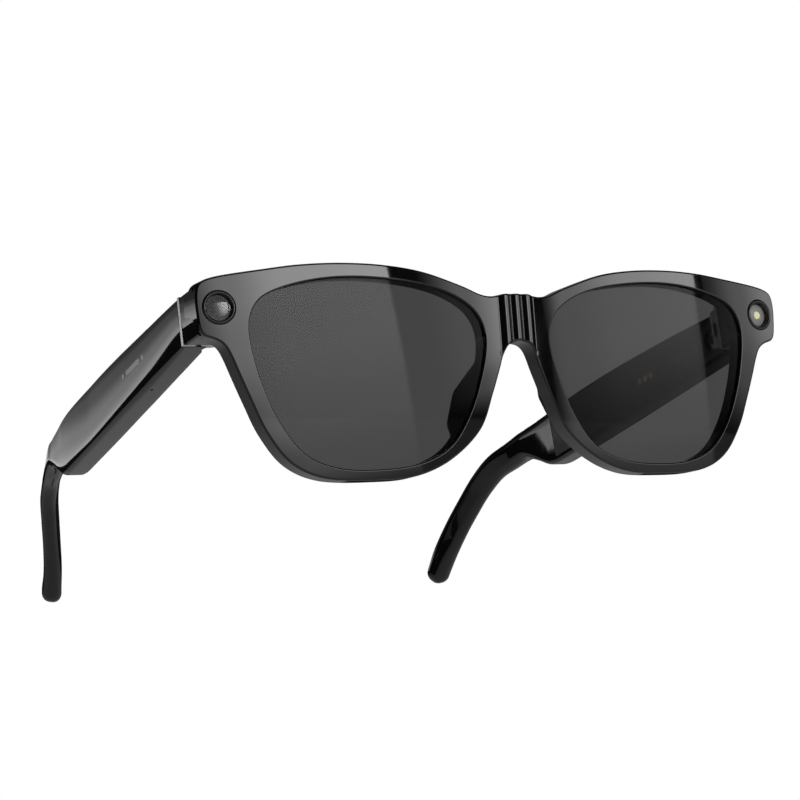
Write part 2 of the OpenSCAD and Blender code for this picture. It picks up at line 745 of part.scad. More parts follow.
module cover_screw_pair() {
    on_arm() {
        cover_holes(screw_head_r, inner_face + fit, inner_face + screw_head_t);
        cover_holes(screw_r - fit, inner_face + screw_head_t - 0.1, cavity_back);
    }
}

module cover_screws_left() {
    color([0.3, 0.3, 0.32]) place() cover_screw_pair();
}

module cover_screws_right() {
    color([0.3, 0.3, 0.32]) place() to_right() cover_screw_pair();
}

// Strip along the ear hook's middle, a clearance larger than the metal core
module core_strip(m) {
    intersection() {
        side_prism(band([for (i = [2:len(hook_side) - 6])
            [hook_side[i][0], hook_side[i][1], core_h / 2 + m]]), side_x - 40, side_x + 5);
        translate([0, 0, -10]) linear_extrude(140) polygon(concat(
            [for (p = temple_plan) [p[1] - core_t / 2 - m, p[0]]],
            reversed([for (p = temple_plan) [p[1] + core_t / 2 + m, p[0]]])));
    }
}

module ear_tip() {
    difference() {
        union() {
            intersection() {
                union() {
                    side_prism(band(hook_side), side_x - 40, side_x + 5);
                    translate([side_x - 40, tip_y, tip_r]) rotate([0, 90, 0])
                        cylinder(r = tip_r, h = 45);
                }
                translate([0, 0, -10]) linear_extrude(140) polygon(plan_outline);
                rotate([0, -hook_turn, 0]) translate([0, 0, -80]) linear_extrude(140)
                    polygon(turned_outline);
                translate([0, hook_y, -10]) cube([side_x + 5, 200, 140]);
            }
            intersection() {
                on_arm() tenon(0);
                translate([0, 0, -10]) cube([side_x + 5, hook_y + 10, 140]);
            }
        }
        core_strip(core_gap);
    }
}

module ear_tip_left() {
    color([0.03, 0.03, 0.035]) place() ear_tip();
}

module ear_tip_right() {
    color([0.03, 0.03, 0.035]) place() to_right() ear_tip();
}

module tip_core_left() {
    color([0.6, 0.6, 0.62]) place() core_strip(0);
}

module tip_core_right() {
    color([0.6, 0.6, 0.62]) place() to_right() core_strip(0);
}

// ---- Electronics in the arms ----

module battery_block() {
    on_arm() block(inside_x + 0.2 + battery_t / 2, battery_y, 0, battery_t, battery_l, battery_h);
}

module battery_left() {
    color([0.5, 0.5, 0.53]) place() battery_block();
}

module battery_right() {
    color([0.5, 0.5, 0.53]) place() to_right() battery_block();
}

module speaker() {
    on_arm() difference() {
        block((inside_x + cavity_back) / 2, speaker_y, 0, cavity_back - inside_x - 0.1, speaker_l, 8.4);
        translate([0, speaker_y, -1.5]) bar_x(6, 1.7, inside_x - 1, inside_x + 1);
    }
}

module speaker_left() {
    color([0.2, 0.2, 0.22]) place() speaker();
}

module speaker_right() {
    color([0.2, 0.2, 0.22]) place() to_right() speaker();
}

// Grille: a thin plate with a row of small holes, let into the inner cover
module speaker_grille() {
    on_arm() translate([0, speaker_y, -1.5]) difference() {
        bar_x(6.1, 1.8, inner_face + 0.1, inner_face + 0.5);
        for (i = [-3:3])
            translate([inner_face - 1, i * 0.75, 0]) rotate([0, 90, 0]) cylinder(r = 0.24, h = 3, $fn = 16);
    }
}

module speaker_grille_left() {
    color([0.25, 0.25, 0.27]) place() speaker_grille();
}

module speaker_grille_right() {
    color([0.25, 0.25, 0.27]) place() to_right() speaker_grille();
}

module microphone() {
    on_arm() block(0.6, mic_y, -arm_half(mic_y) + cavity_wall + 0.75, 1.6, 2.8, 1);
}

module microphone_left() {
    color([0.8, 0.7, 0.4]) place() microphone();
}

module microphone_right() {
    color([0.8, 0.7, 0.4]) place() to_right() microphone();
}

// Circuit board against the outer wall, of a given length
module arm_board(l) {
    on_arm() block(cavity_back - sensor_t - 0.05 - board_t / 2, board_y0 + l / 2, -0.2, board_t, l, 5.4);
}

module main_board() {
    color([0.08, 0.3, 0.16]) place() to_right() arm_board(board_end - board_y0);
}

module power_board() {
    color([0.08, 0.3, 0.16]) place() arm_board(contact_y - 7 - board_y0);
}

module touch_sensor() {
    color([0.7, 0.5, 0.2]) place() to_right() on_arm()
        block(cavity_back - sensor_t / 2 - 0.02, board_y0 + 12, 0, sensor_t, 22, 6.4);
}

// ---- Buttons ----

// Middle of the capture button, on top of the right arm
module capture_place() {
    translate([-0.2, capture_y, arm_half(capture_y) + 0.8]) rotate([arm_pitch, 0, 0]) children();
}

module capture_button() {
    color([0.06, 0.06, 0.065]) place() to_right() on_arm() capture_place()
        bar_z(button_l, button_w, -1.6, button_proud);
}

module capture_switch() {
    color([0.3, 0.3, 0.33]) place() to_right() on_arm() capture_place()
        block(0, 0, -1.6 - button_travel - 0.1 - 0.5, 2.2, 3.6, 1);
}

module power_button() {
    color([0.06, 0.06, 0.065]) place() on_arm() translate([0, power_y, 0])
        bar_x(button_l, button_w, inner_face - button_proud, inner_face + cover_t - 0.1);
}

module power_switch() {
    color([0.3, 0.3, 0.33]) place() on_arm()
        block(inner_face + cover_t + button_travel + 0.65, power_y, 0, 1, 3.6, 2.2);
}

// ---- Charging ----

module contacts(r, x0, x1) {
    for (i = [-1, 0, 1])
        translate([x0, contact_y + i * contact_pitch, 0]) rotate([0, 90, 0]) cylinder(r = r, h = x1 - x0);
}

module charge_contacts() {
    color([0.9, 0.7, 0.3]) place() on_arm() contacts(contact_r, inner_face + 0.02, inner_face + 2);
}

module dock_magnets() {
    color([0.6, 0.6, 0.63]) place() on_arm() for (s = [-1, 1])
        translate([inside_x + 0.05, contact_y + s * 5.2, 0]) rotate([0, 90, 0]) cylinder(r = magnet_r, h = 1.2);
}

front_frame();
brow_cover();
front_flex();
lens_right();
lens_left();
nose_pad_right();
nose_pad_left();
camera_bezel();
camera_window();
camera_gasket();
camera_barrel();
camera_module();
led_bezel();
led_window();
led_board();
hinge_plate_right();
hinge_plate_left();
plate_screws();
hinge_pin_right();
hinge_pin_left();
temple_shell_right();
temple_shell_left();
inner_cover_right();
inner_cover_left();
cover_screws_right();
cover_screws_left();
ear_tip_right();
ear_tip_left();
tip_core_right();
tip_core_left();
hinge_leaf_right();
hinge_leaf_left();
leaf_screws_right();
leaf_screws_left();
battery_right();
battery_left();
speaker_right();
speaker_left();
speaker_grille_right();
speaker_grille_left();
microphone_right();
microphone_left();
main_board();
power_board();
touch_sensor();
capture_button();
capture_switch();
power_button();
power_switch();
charge_contacts();
dock_magnets();
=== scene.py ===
import json
import math

import bmesh
import bpy
import numpy as np
from mathutils import Matrix, Vector, geometry

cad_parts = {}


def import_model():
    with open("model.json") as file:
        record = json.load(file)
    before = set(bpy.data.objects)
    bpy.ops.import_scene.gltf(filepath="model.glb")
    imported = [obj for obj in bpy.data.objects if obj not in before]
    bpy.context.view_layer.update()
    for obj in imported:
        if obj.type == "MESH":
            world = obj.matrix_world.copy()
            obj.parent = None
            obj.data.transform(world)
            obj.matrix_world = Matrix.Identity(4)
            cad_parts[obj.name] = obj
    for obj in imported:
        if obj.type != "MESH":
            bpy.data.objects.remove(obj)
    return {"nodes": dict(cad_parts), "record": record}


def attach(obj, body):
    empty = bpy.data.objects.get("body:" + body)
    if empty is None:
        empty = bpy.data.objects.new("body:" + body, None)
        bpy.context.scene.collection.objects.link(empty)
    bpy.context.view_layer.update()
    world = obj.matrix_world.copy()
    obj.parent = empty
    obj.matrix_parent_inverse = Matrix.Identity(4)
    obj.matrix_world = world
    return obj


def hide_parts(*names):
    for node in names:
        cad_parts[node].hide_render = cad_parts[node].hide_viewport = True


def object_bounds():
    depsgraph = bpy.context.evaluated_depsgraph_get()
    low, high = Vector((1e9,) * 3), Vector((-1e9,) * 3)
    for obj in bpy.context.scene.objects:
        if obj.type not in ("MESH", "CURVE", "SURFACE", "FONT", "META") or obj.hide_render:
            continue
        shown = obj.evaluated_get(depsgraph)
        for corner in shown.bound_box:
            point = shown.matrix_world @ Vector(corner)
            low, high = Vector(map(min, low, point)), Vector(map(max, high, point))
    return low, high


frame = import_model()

cad_low, cad_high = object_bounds()
nodes = frame["nodes"]
SIDES = ((1, "left"), (-1, "right"))        # the wearer's

# ---------------------------------------------------------------- sizes, in millimetres
LENS_W, LENS_H, BRIDGE, ENDPIECE_W = 54.6, 41.2, 16.6, 11.2
BROW_RIM, LOWER_RIM, SIDE_RIM = 3.3, 2.3, 4.2
LENS_TOP, RIM_DEPTH, FACE_R, LEAN = 14.9, 5.0, 540.0, math.radians(5.8)
ENDPIECE_H, SEAM_Y, TEMPLE_LEN, BELLY_LEN = 12.2, 14.0, 144.0, 84.0
ARM_T, ARM_LEAN, HOOK_LEAN, TIP_R = 6.1, 1.9, 11.0, 3.4
LENS_X0 = BRIDGE / 2
LENS_BOTTOM = LENS_TOP - LENS_H
SIDE_X = LENS_X0 + LENS_W + ENDPIECE_W
END_TOP = LENS_TOP - 0.4
END_MID = END_TOP - ENDPIECE_H / 2
END_BOTTOM = END_TOP - ENDPIECE_H
BRIDGE_TOP = LENS_TOP - 3.2
ARCH_TOP = 1.2
EYE_X, EYE_Z, BEZEL_R = SIDE_X - 4.9, END_MID + 0.2, 3.55
ARM_X = SIDE_X - ARM_T / 2
TIP_Y = SEAM_Y + TEMPLE_LEN - TIP_R
MIDDLE_Y = SEAM_Y + TEMPLE_LEN - cad_high.y * 1000
LOW_X = LENS_X0 + 0.48 * LENS_W
ARCH_Z = (LOWER_RIM - LENS_BOTTOM) * math.cos(LEAN) - (
    FACE_R - math.sqrt(FACE_R**2 - LOW_X**2)
) * math.sin(LEAN)
ARM_Z = ARCH_Z + END_MID * math.cos(LEAN) + 0.3
CROWN = 0.0009
HINGE_INSET, HINGE_BACK = 1.4, 2.1          # hinge axis: in from the arm's inner face, back from the seam
HINGE_ROOM, LEAF_W = 4.3, 5.6               # widths of the cuts for the hinge's knuckles and its leaf
LENS_FRONT, LENS_BACK, LENS_TUCK = 0.8, 2.8, 0.35
EYE_POCKET, EYE_EDGE, EYE_ROOM = 5.6, 0.12, 0.05
BLOCK_INNER, BLOCK_HALF_H, BLOCK_GAP, BLOCK_TRIM = 64.2, 5.25, 0.03, 0.1
SKIN_GAP = 0.1                              # between the inner cover and the skin round it
BRIDGE_HALF = 5.5                           # half width of the finely meshed bridge
HOOK_START = 106                            # where the ear hook's piece takes over from the arm's
MARK_AT, MARK_W, MARK_T = 30.5, 1.2, 0.12
STRIP_SET_BACK = 0.00007                    # metres, keeps the brow strip off the front shell
FLOOR_Z = -0.30                             # metres
MM = 0.001


# ---------------------------------------------------------------- curves
def spline(points, steps, closed=True):
    """Smooth curve through points."""
    p = np.array(points, float)
    n = len(p)
    t = np.arange(steps)[:, None] / steps
    out = []
    for i in range(n if closed else n - 1):
        if closed:
            a, b, c, d = p[i - 1], p[i], p[(i + 1) % n], p[(i + 2) % n]
        else:
            a, b, c, d = p[max(i - 1, 0)], p[i], p[i + 1], p[min(i + 2, n - 1)]
        out.append(
            0.5 * (2 * b + (c - a) * t + (2 * a - 5 * b + 4 * c - d) * t**2
                   + (3 * b - a - 3 * c + d) * t**3)
        )
    if not closed:
        out.append(p[-1:])
    return np.concatenate(out)


def even(curve, step):
    """Closed curve with points at an even spacing."""
    c = np.vstack([curve, curve[:1]])
    s = np.concatenate([[0], np.cumsum(np.linalg.norm(np.diff(c, axis=0), axis=1))])
    n = int(round(s[-1] / step))
    at = np.arange(n) * s[-1] / n
    return np.stack([np.interp(at, s, c[:, k]) for k in range(c.shape[1])], 1)


def relaxed(curve, passes):
    """Closed curve with the small waves taken out of it."""
    c = curve.copy()
    for _ in range(passes):
        c = 0.25 * np.roll(c, 1, 0) + 0.5 * c + 0.25 * np.roll(c, -1, 0)
    return c


def normals_of(curve):
    """Outward normals of a closed curve that runs clockwise."""
    s = np.roll(curve, -1, 0) - np.roll(curve, 1, 0)
    n = np.stack([-s[:, 1], s[:, 0]], 1)
    return n / np.linalg.norm(n, axis=1)[:, None]


def lens_at(u, v, dx=0.0, dz=0.0):
    """Point at shares of the lens's width and height, moved out and up by dx and dz."""
    return (LENS_X0 + u * LENS_W + dx, LENS_BOTTOM + v * LENS_H + dz)


LENS_POINTS = [lens_at(u, v) for u, v in (
    (0, 0.66), (0.025, 0.8), (0.11, 0.896), (0.25, 0.962), (0.45, 0.998), (0.64, 1),
    (0.81, 0.965), (0.94, 0.9), (0.993, 0.8), (0.998, 0.67), (0.965, 0.47), (0.9, 0.26),
    (0.8, 0.09), (0.66, 0.012), (0.48, 0), (0.32, 0.025), (0.19, 0.105), (0.1, 0.26),
    (0.035, 0.46))]
BROW = [(LENS_X0 + u * LENS_W, LENS_TOP + BROW_RIM - drop) for u, drop in (
    (0.09, 4.8), (0.26, 1.8), (0.43, 0.4), (0.61, 0), (0.78, 0.4), (0.93, 1.4))]
HALF_OUTLINE = [
    (3.4, BRIDGE_TOP - 0.1), (LENS_X0 - 2.3, BRIDGE_TOP - 0.6), (LENS_X0 + 0.6, BRIDGE_TOP - 0.1),
    *BROW,
    (SIDE_X - 5.8, END_TOP + 1.0), (SIDE_X - 1.9, END_TOP), (SIDE_X - 0.5, END_TOP - 1.1),
    (SIDE_X, END_TOP - 3.4), (SIDE_X, END_MID), (SIDE_X - 0.5, END_BOTTOM + 1.7),
    (SIDE_X - 1.5, END_BOTTOM + 0.2), (SIDE_X - 3.4, END_BOTTOM - 0.3),
    (SIDE_X - 5.5, END_BOTTOM - 1.6), (SIDE_X - 6.8, END_BOTTOM - 4),
    lens_at(0.975, 0.5, SIDE_RIM), lens_at(0.932, 0.36, SIDE_RIM),
    lens_at(0.88, 0.22, SIDE_RIM - 0.2, -0.9), lens_at(0.8, 0.09, SIDE_RIM - 0.9, -2),
    lens_at(0.69, 0, 1.6, 0.6 - LOWER_RIM), lens_at(0.5, 0, 0, -LOWER_RIM),
    lens_at(0.33, 0, 0, 0.7 - LOWER_RIM), lens_at(0.2, 0.09, -1.2, 0.4 - LOWER_RIM),
    lens_at(0.1, 0.26, -3, -2.6), lens_at(0.035, 0.46, -3, -3), lens_at(0, 0.6, -3.2, -3.4),
    (3.1, ARCH_TOP - 1.2)]
OUTLINE = relaxed(even(spline(
    [(0, BRIDGE_TOP)] + HALF_OUTLINE + [(0, ARCH_TOP)] + [(-x, z) for x, z in HALF_OUTLINE[::-1]],
    24), 0.3), 10)
LENS_CURVE = relaxed(even(spline(LENS_POINTS, 24), 0.3), 10)


# ---------------------------------------------------------------- places
def to_row(p):
    """Upright millimetres, measured from the nose arch, to metres in the row's frame."""
    return (np.asarray(p, float) - [0, MIDDLE_Y, 0]) * MM


def from_front(p):
    """Leaning front to upright millimetres."""
    p = np.asarray(p, float)
    c, s = math.cos(LEAN), math.sin(LEAN)
    return np.stack([p[:, 0], p[:, 1] * c - p[:, 2] * s, p[:, 1] * s + p[:, 2] * c + ARCH_Z], 1)


RIB_X = np.arange(-8, 8.001, 0.02)
RIB_H = sum(np.maximum(0, np.sqrt(np.maximum(0, 1.6**2 - (RIB_X - x) ** 2)) - 0.75)
            for x in (-2.8, 0, 2.8))
RIB_KERNEL = np.exp(-0.5 * (np.arange(-40, 41) * 0.02 / 0.16) ** 2)
RIB_H = np.convolve(RIB_H, RIB_KERNEL / RIB_KERNEL.sum(), mode="same")


def face_y(x, z, d):
    """Depth of the front's surface: the gentle curve, a slight crown, and the ribs of the bridge."""
    rib = np.interp(np.abs(x), RIB_X, RIB_H, right=0) * np.clip(1 - d / 1.6, 0, 1)
    return FACE_R - np.sqrt((FACE_R - d) ** 2 - x**2) + CROWN * (z - 7) ** 2 - rib


def face_normal(x, z, d):
    """Direction in which the front's surface faces, from its slope over a small step."""
    e = 0.02
    gx = (face_y(x + e, z, d) - face_y(x - e, z, d)) / (2 * e)
    gz = (face_y(x, z + e, d) - face_y(x, z - e, d)) / (2 * e)
    n = np.stack([gx, -np.ones_like(gx), gz], 1)
    return n / np.linalg.norm(n, axis=1)[:, None]


# ---------------------------------------------------------------- mesh building
class Shell:
    """Vertices with their normals, and faces."""

    def __init__(self):
        self.v, self.n, self.f = [], [], []
        self.count = 0

    def add(self, pos, nor):
        """Indices of new vertices."""
        ids = np.arange(self.count, self.count + len(pos))
        self.v.append(np.asarray(pos, float))
        self.n.append(np.asarray(nor, float))
        self.count += len(pos)
        return ids

    def strip(self, a, b, flip):
        """Faces between two closed rings of vertices."""
        for i in range(len(a)):
            j = (i + 1) % len(a)
            q = [a[i], a[j], b[j], b[i]]
            self.f.append(q[::-1] if flip else q)

    def mesh(self, name):
        """Mesh in the row's frame, shaded with the shell's own normals."""
        v, n = np.vstack(self.v), np.vstack(self.n)
        c, s = math.cos(LEAN), math.sin(LEAN)
        n = np.stack([n[:, 0], n[:, 1] * c - n[:, 2] * s, n[:, 1] * s + n[:, 2] * c], 1)
        me = bpy.data.meshes.new(name)
        me.from_pydata(to_row(from_front(v)).tolist(), [], [list(map(int, f)) for f in self.f])
        me.validate()
        for p in me.polygons:
            p.use_smooth = True
        me.normals_split_custom_set_from_vertices(n.tolist())
        return me


def obj(name, me, body, slot, material, *replaced):
    """Piece that rides a body and hides the CAD nodes it stands for."""
    o = bpy.data.objects.new(name, me)
    bpy.context.scene.collection.objects.link(o)
    o.data.materials.clear()
    o.data.materials.append(material)
    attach(o, body)
    if replaced:
        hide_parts(*replaced)
    return o


def inside(poly, pts):
    """Whether points lie inside a closed polygon."""
    x, z = pts[:, 0], pts[:, 1]
    r = np.zeros(len(pts), bool)
    a, b = poly, np.roll(poly, -1, 0)
    for (x0, z0), (x1, z1) in zip(a, b):
        m = (z0 > z) != (z1 > z)
        if m.any():
            r[m] ^= x[m] < (x1 - x0) * (z[m] - z0) / (z1 - z0) + x0
    return r


def fill(shell, loops, ids, grid, make, flip):
    """Triangles between an outer loop, its holes and extra points inside."""
    flat = np.vstack(loops)
    keep = inside(loops[0], grid)
    for hole in loops[1:]:
        keep &= ~inside(hole, grid)
    grid = grid[keep]
    far = np.ones(len(grid), bool)
    for k in range(0, len(grid), 2000):
        d = np.linalg.norm(grid[k:k + 2000, None] - flat[None], axis=2).min(1)
        far[k:k + 2000] = d > 0.35
    grid = grid[far]
    edges, start = [], 0
    for loop in loops:
        n = len(loop)
        edges += [(start + i, start + (i + 1) % n) for i in range(n)]
        start += n
    pts = np.vstack([flat, grid])
    vs, _, faces, orig, _, _ = geometry.delaunay_2d_cdt(
        [Vector(p) for p in pts], edges, [], 0, 1e-7)
    own = np.concatenate(ids + [make(grid)])
    index = [own[o[0]] for o in orig]
    vs = np.array([tuple(v) for v in vs])
    tri = np.array([list(f) for f in faces])
    mid = vs[tri].mean(1)
    good = inside(loops[0], mid)
    for hole in loops[1:]:
        good &= ~inside(hole, mid)
    for t in tri[good]:
        a, b, c = vs[t]
        area = (b[0] - a[0]) * (c[1] - a[1]) - (b[1] - a[1]) * (c[0] - a[0])
        f = [index[i] for i in t]
        shell.f.append(f if (area > 0) != flip else f[::-1])


def grid_points():
    """Points inside the front's outline, closer together at the bridge for its ribs."""
    xs = np.arange(-74, 74.1, 1.7)
    zs = np.arange(-30, 19.5, 1.7)
    g = np.array([(x, z) for x in xs for z in zs if abs(x) > BRIDGE_HALF + 0.1])
    fine_x = np.arange(0.1 - BRIDGE_HALF, BRIDGE_HALF - 0.09, 0.2)
    fine = np.array([(x, z) for x in fine_x for z in np.arange(-2, 12.5, 1.0)])
    return np.vstack([g, fine])


def ring(shell, curve, nor, inset, depth, cos_in, sin_out):
    """One ring of vertices along a curve, moved in by inset and back by depth."""
    p = curve - nor * inset
    x, z = p[:, 0], p[:, 1]
    depth = np.broadcast_to(np.asarray(depth, float), x.shape)
    face = face_normal(x, z, depth)
    n = cos_in * face + sin_out * np.stack([nor[:, 0], 0 * x, nor[:, 1]], 1)
    return shell.add(np.stack([x, face_y(x, z, depth), z], 1), n / np.linalg.norm(n, axis=1)[:, None]), p


def surface_points(shell, depth, sign):
    """Function that adds points at one depth of the front, facing forward (1) or back (-1)."""
    def make(points):
        x, z = points[:, 0], points[:, 1]
        d = np.full_like(x, depth)
        return shell.add(np.stack([x, face_y(x, z, d), z], 1), sign * face_normal(x, z, d))
    return make


def front_mesh():
    """Front with rounded edges, its two lens openings and the pockets of the camera and the light."""
    s = Shell()
    loops = [OUTLINE, LENS_CURVE, LENS_CURVE * [-1, 1]]
    outward = [normals_of(OUTLINE), -normals_of(LENS_CURVE), -normals_of(LENS_CURVE) * [-1, 1]]
    circle = np.array([(math.cos(a), math.sin(a)) for a in np.linspace(0, 2 * math.pi, 96, endpoint=False)])
    front_loops, front_ids, back_loops, back_ids = [], [], [], []
    # the sides of the endpieces run on into the blocks behind them, with almost no rear rounding
    x, z = OUTLINE[:, 0], OUTLINE[:, 1]
    ramp = np.clip(np.maximum((z - (END_TOP - 3.0)) / 1.6, (END_BOTTOM + 3.0 - z) / 1.6), 0, 1)
    ramp = np.where(np.abs(x) > SIDE_X - 1.5, ramp, 1)
    ramp = ramp * ramp * (3 - 2 * ramp)
    for k, (loop, nor) in enumerate(zip(loops, outward)):
        r_in, r_dep = (0.45, 0.4) if k == 0 else (0.35, 0.35)
        back = RIM_DEPTH + (1.4 * (1 - ramp) if k == 0 else 0)
        rb = 0.75 * np.maximum(ramp, 0.03) if k == 0 else 0.5
        flip = k == 2
        last, first = None, None
        rings = []
        for a in np.linspace(0, math.pi / 2, 9):
            rings.append((r_in * (1 - math.sin(a)), r_dep * (1 - math.cos(a)), math.cos(a), math.sin(a)))
        for t in (0.33, 0.66):
            rings.append((0, r_dep + (back - rb - r_dep) * t, 0, 1))
        for a in np.linspace(0, math.pi / 2, 7):
            rings.append((rb * (1 - math.cos(a)), back - rb * (1 - math.sin(a)), -math.sin(a), math.cos(a)))
        for inset, depth, c_in, s_out in rings:
            inset = np.broadcast_to(np.asarray(inset, float), len(loop))[:, None]
            ids, p = ring(s, loop, nor, inset, depth, c_in, s_out)
            if last is None:
                first = (ids, p)
            else:
                s.strip(last, ids, flip ^ (k > 0))
            last = ids
        front_loops.append(first[1])
        front_ids.append(first[0])
        back_loops.append(p)
        back_ids.append(ids)
    for side in (1, -1):
        c = circle * (BEZEL_R + EYE_ROOM) + [side * EYE_X, EYE_Z]
        last = None
        for inset, depth, c_in, s_out in (
                (EYE_EDGE, 0, 1, 0), (EYE_EDGE * 0.3, EYE_EDGE / 3, 0.7, 0.7), (0, EYE_EDGE, 0, 1),
                (0, EYE_POCKET, 0, 1)):
            ids, p = ring(s, c, -circle, inset, depth, c_in, s_out)
            if last is None:
                front_loops.append(p)
                front_ids.append(ids)
            else:
                s.strip(last, ids, False)
            last = ids
        s.f.append(list(surface_points(s, EYE_POCKET, 1)(c)))
    g = grid_points()
    fill(s, front_loops, front_ids, g, surface_points(s, 0.0, 1), False)
    fill(s, back_loops, back_ids, g, surface_points(s, RIM_DEPTH, -1), True)
    return s.mesh("front_shell")


def lens_mesh(side, name):
    """Curved lens that reaches a little way into the groove of its rim."""
    s = Shell()
    out = normals_of(LENS_CURVE) * [side, 1]
    wide = LENS_CURVE * [side, 1] + out * LENS_TUCK
    front, front_edge = ring(s, wide, out, 0, LENS_FRONT, 1, 0)
    back, back_edge = ring(s, wide, out, 0, LENS_BACK, -1, 0)
    wall = [ring(s, wide, out, 0, depth, 0, 1)[0] for depth in (LENS_FRONT, LENS_BACK)]
    s.strip(wall[0], wall[1], side < 0)
    g = np.array([(side * x, z) for x in np.arange(8, 65, 1.5) for z in np.arange(-28, 17, 1.5)])
    fill(s, [front_edge], [front], g, surface_points(s, LENS_FRONT, 1), False)
    fill(s, [back_edge], [back], g, surface_points(s, LENS_BACK, -1), True)
    return s.mesh(name)


# ---------------------------------------------------------------- lofts
def section(a, b, radii, bulge=0.0, crest=0.0):
    """Rounded rectangle, with corners outer-top, inner-top, inner-bottom and outer-bottom.

    Its outer face is crowned by bulge, with the highest line at a share crest of the half height.
    """
    pts = []
    arcs = []
    for (sx, sz), r, start in zip([(1, 1), (-1, 1), (-1, -1), (1, -1)], radii, [0, 90, 180, 270]):
        r = min(r, a * 0.999, b * 0.999)
        arcs.append([(sx * (a - r) + r * math.cos(math.radians(start + 90 * k / 8)),
                      sz * (b - r) + r * math.sin(math.radians(start + 90 * k / 8))) for k in range(9)])
    for i in range(4):
        pts += arcs[i]
        p, q = arcs[i][-1], arcs[(i + 1) % 4][0]
        n = 7 if i % 2 else 4
        pts += [(p[0] + (q[0] - p[0]) * t / n, p[1] + (q[1] - p[1]) * t / n) for t in range(1, n)]
    pts = np.array(pts)
    if bulge:
        out = pts[:, 0] > 0
        pts[out, 0] -= bulge * (pts[out, 1] / b - crest) ** 2
    return pts


def sweep(stations):
    """Rings of points, one for each station.

    A station is [centre, up direction, half width, half height, corner radii, turn, bulge, crest].
    """
    rings = []
    for centre, up, a, b, radii, turn, bulge, crest in stations:
        up = np.array([0, *up], float)
        up /= np.linalg.norm(up)
        sec = section(a, b, radii, bulge, crest)
        c, s = math.cos(turn), math.sin(turn)
        u = sec[:, 0] * c - sec[:, 1] * s
        w = sec[:, 0] * s + sec[:, 1] * c
        rings.append(np.array(centre) + u[:, None] * np.array([1.0, 0, 0]) + w[:, None] * up)
    return rings


def mesh_from_rings(name, rings, side, sharp=40):
    """Closed loft through rings, for the left side (1) or mirrored (-1)."""
    n = len(rings[0])
    v = np.vstack(rings) * [side, 1, 1]
    f = []
    for k in range(len(rings) - 1):
        for i in range(n):
            j = (i + 1) % n
            f.append([k * n + i, k * n + j, (k + 1) * n + j, (k + 1) * n + i])
    f.append(list(range(n))[::-1])
    f.append([(len(rings) - 1) * n + i for i in range(n)])
    me = bpy.data.meshes.new(name)
    me.from_pydata(to_row(v).tolist(), [], f)
    soften(me, sharp, True)
    return me


def soften(me, sharp, face_outward=False):
    """Smooth shading, with edges sharper than an angle in degrees kept crisp."""
    bm = bmesh.new()
    bm.from_mesh(me)
    if face_outward:
        bmesh.ops.recalc_face_normals(bm, faces=bm.faces)
    for f in bm.faces:
        f.smooth = True
    for e in bm.edges:
        e.smooth = not (len(e.link_faces) == 2 and e.calc_face_angle(0) > math.radians(sharp))
    bm.to_mesh(me)
    bm.free()


def carve(me, cutters):
    """Mesh with the cutters taken out of it."""
    body = bpy.data.objects.new("carved", me)
    bpy.context.scene.collection.objects.link(body)
    tools = []
    for cutter in cutters:
        tool = bpy.data.objects.new("cutter", cutter)
        bpy.context.scene.collection.objects.link(tool)
        tools.append(tool)
        m = body.modifiers.new("cut", "BOOLEAN")
        m.operation = "DIFFERENCE"
        m.solver = "EXACT"
        m.object = tool
    graph = bpy.context.evaluated_depsgraph_get()
    out = bpy.data.meshes.new_from_object(body.evaluated_get(graph))
    for o in [body] + tools:
        bpy.data.objects.remove(o)
    soften(out, 35)
    out.name = me.name
    return out


def solid(name, build):
    """Closed mesh in metres, made by a function that fills a bmesh in row millimetres."""
    bm = bmesh.new()
    build(bm)
    for v in bm.verts:
        v.co *= MM
    bmesh.ops.recalc_face_normals(bm, faces=bm.faces)
    me = bpy.data.meshes.new(name)
    bm.to_mesh(me)
    bm.free()
    return me


def round_bar(side, place, along, across, length, width, low, high):
    """Slot-shaped bar: length along one axis, width across, from low to high on the third."""
    along, across = Vector(along), Vector(across)
    third = along.cross(across)
    r = width / 2

    def build(bm):
        loop = []
        for k in range(32):
            a = 2 * math.pi * k / 32
            end = math.copysign(length / 2 - r, math.cos(a + 1e-6))
            loop.append(along * (end + r * math.cos(a)) + across * (r * math.sin(a)))
        rows = []
        for h in (low, high):
            points = [Vector(place) + p + third * h for p in loop]
            rows.append([bm.verts.new((side * q.x, q.y, q.z)) for q in points])
        bm.faces.new(rows[0])
        bm.faces.new(rows[1])
        for k in range(32):
            j = (k + 1) % 32
            bm.faces.new([rows[0][k], rows[0][j], rows[1][j], rows[1][k]])
    return solid("bar", build)


def hull_of(node, grow):
    """Convex hull of a CAD node, a clearance in millimetres larger all round."""
    me = nodes[node].data
    co = np.array([v.co for v in me.vertices]) * 1000
    mid = (co.min(0) + co.max(0)) / 2
    size = co.max(0) - co.min(0)
    co = mid + (co - mid) * (1 + 2 * grow / size)

    def build(bm):
        for p in co:
            bm.verts.new(p)
        hull = bmesh.ops.convex_hull(bm, input=bm.verts)
        loose = {g for g in hull["geom_interior"] if isinstance(g, bmesh.types.BMVert)}
        bmesh.ops.delete(bm, geom=list(loose), context="VERTS")
    return solid("hull", build)


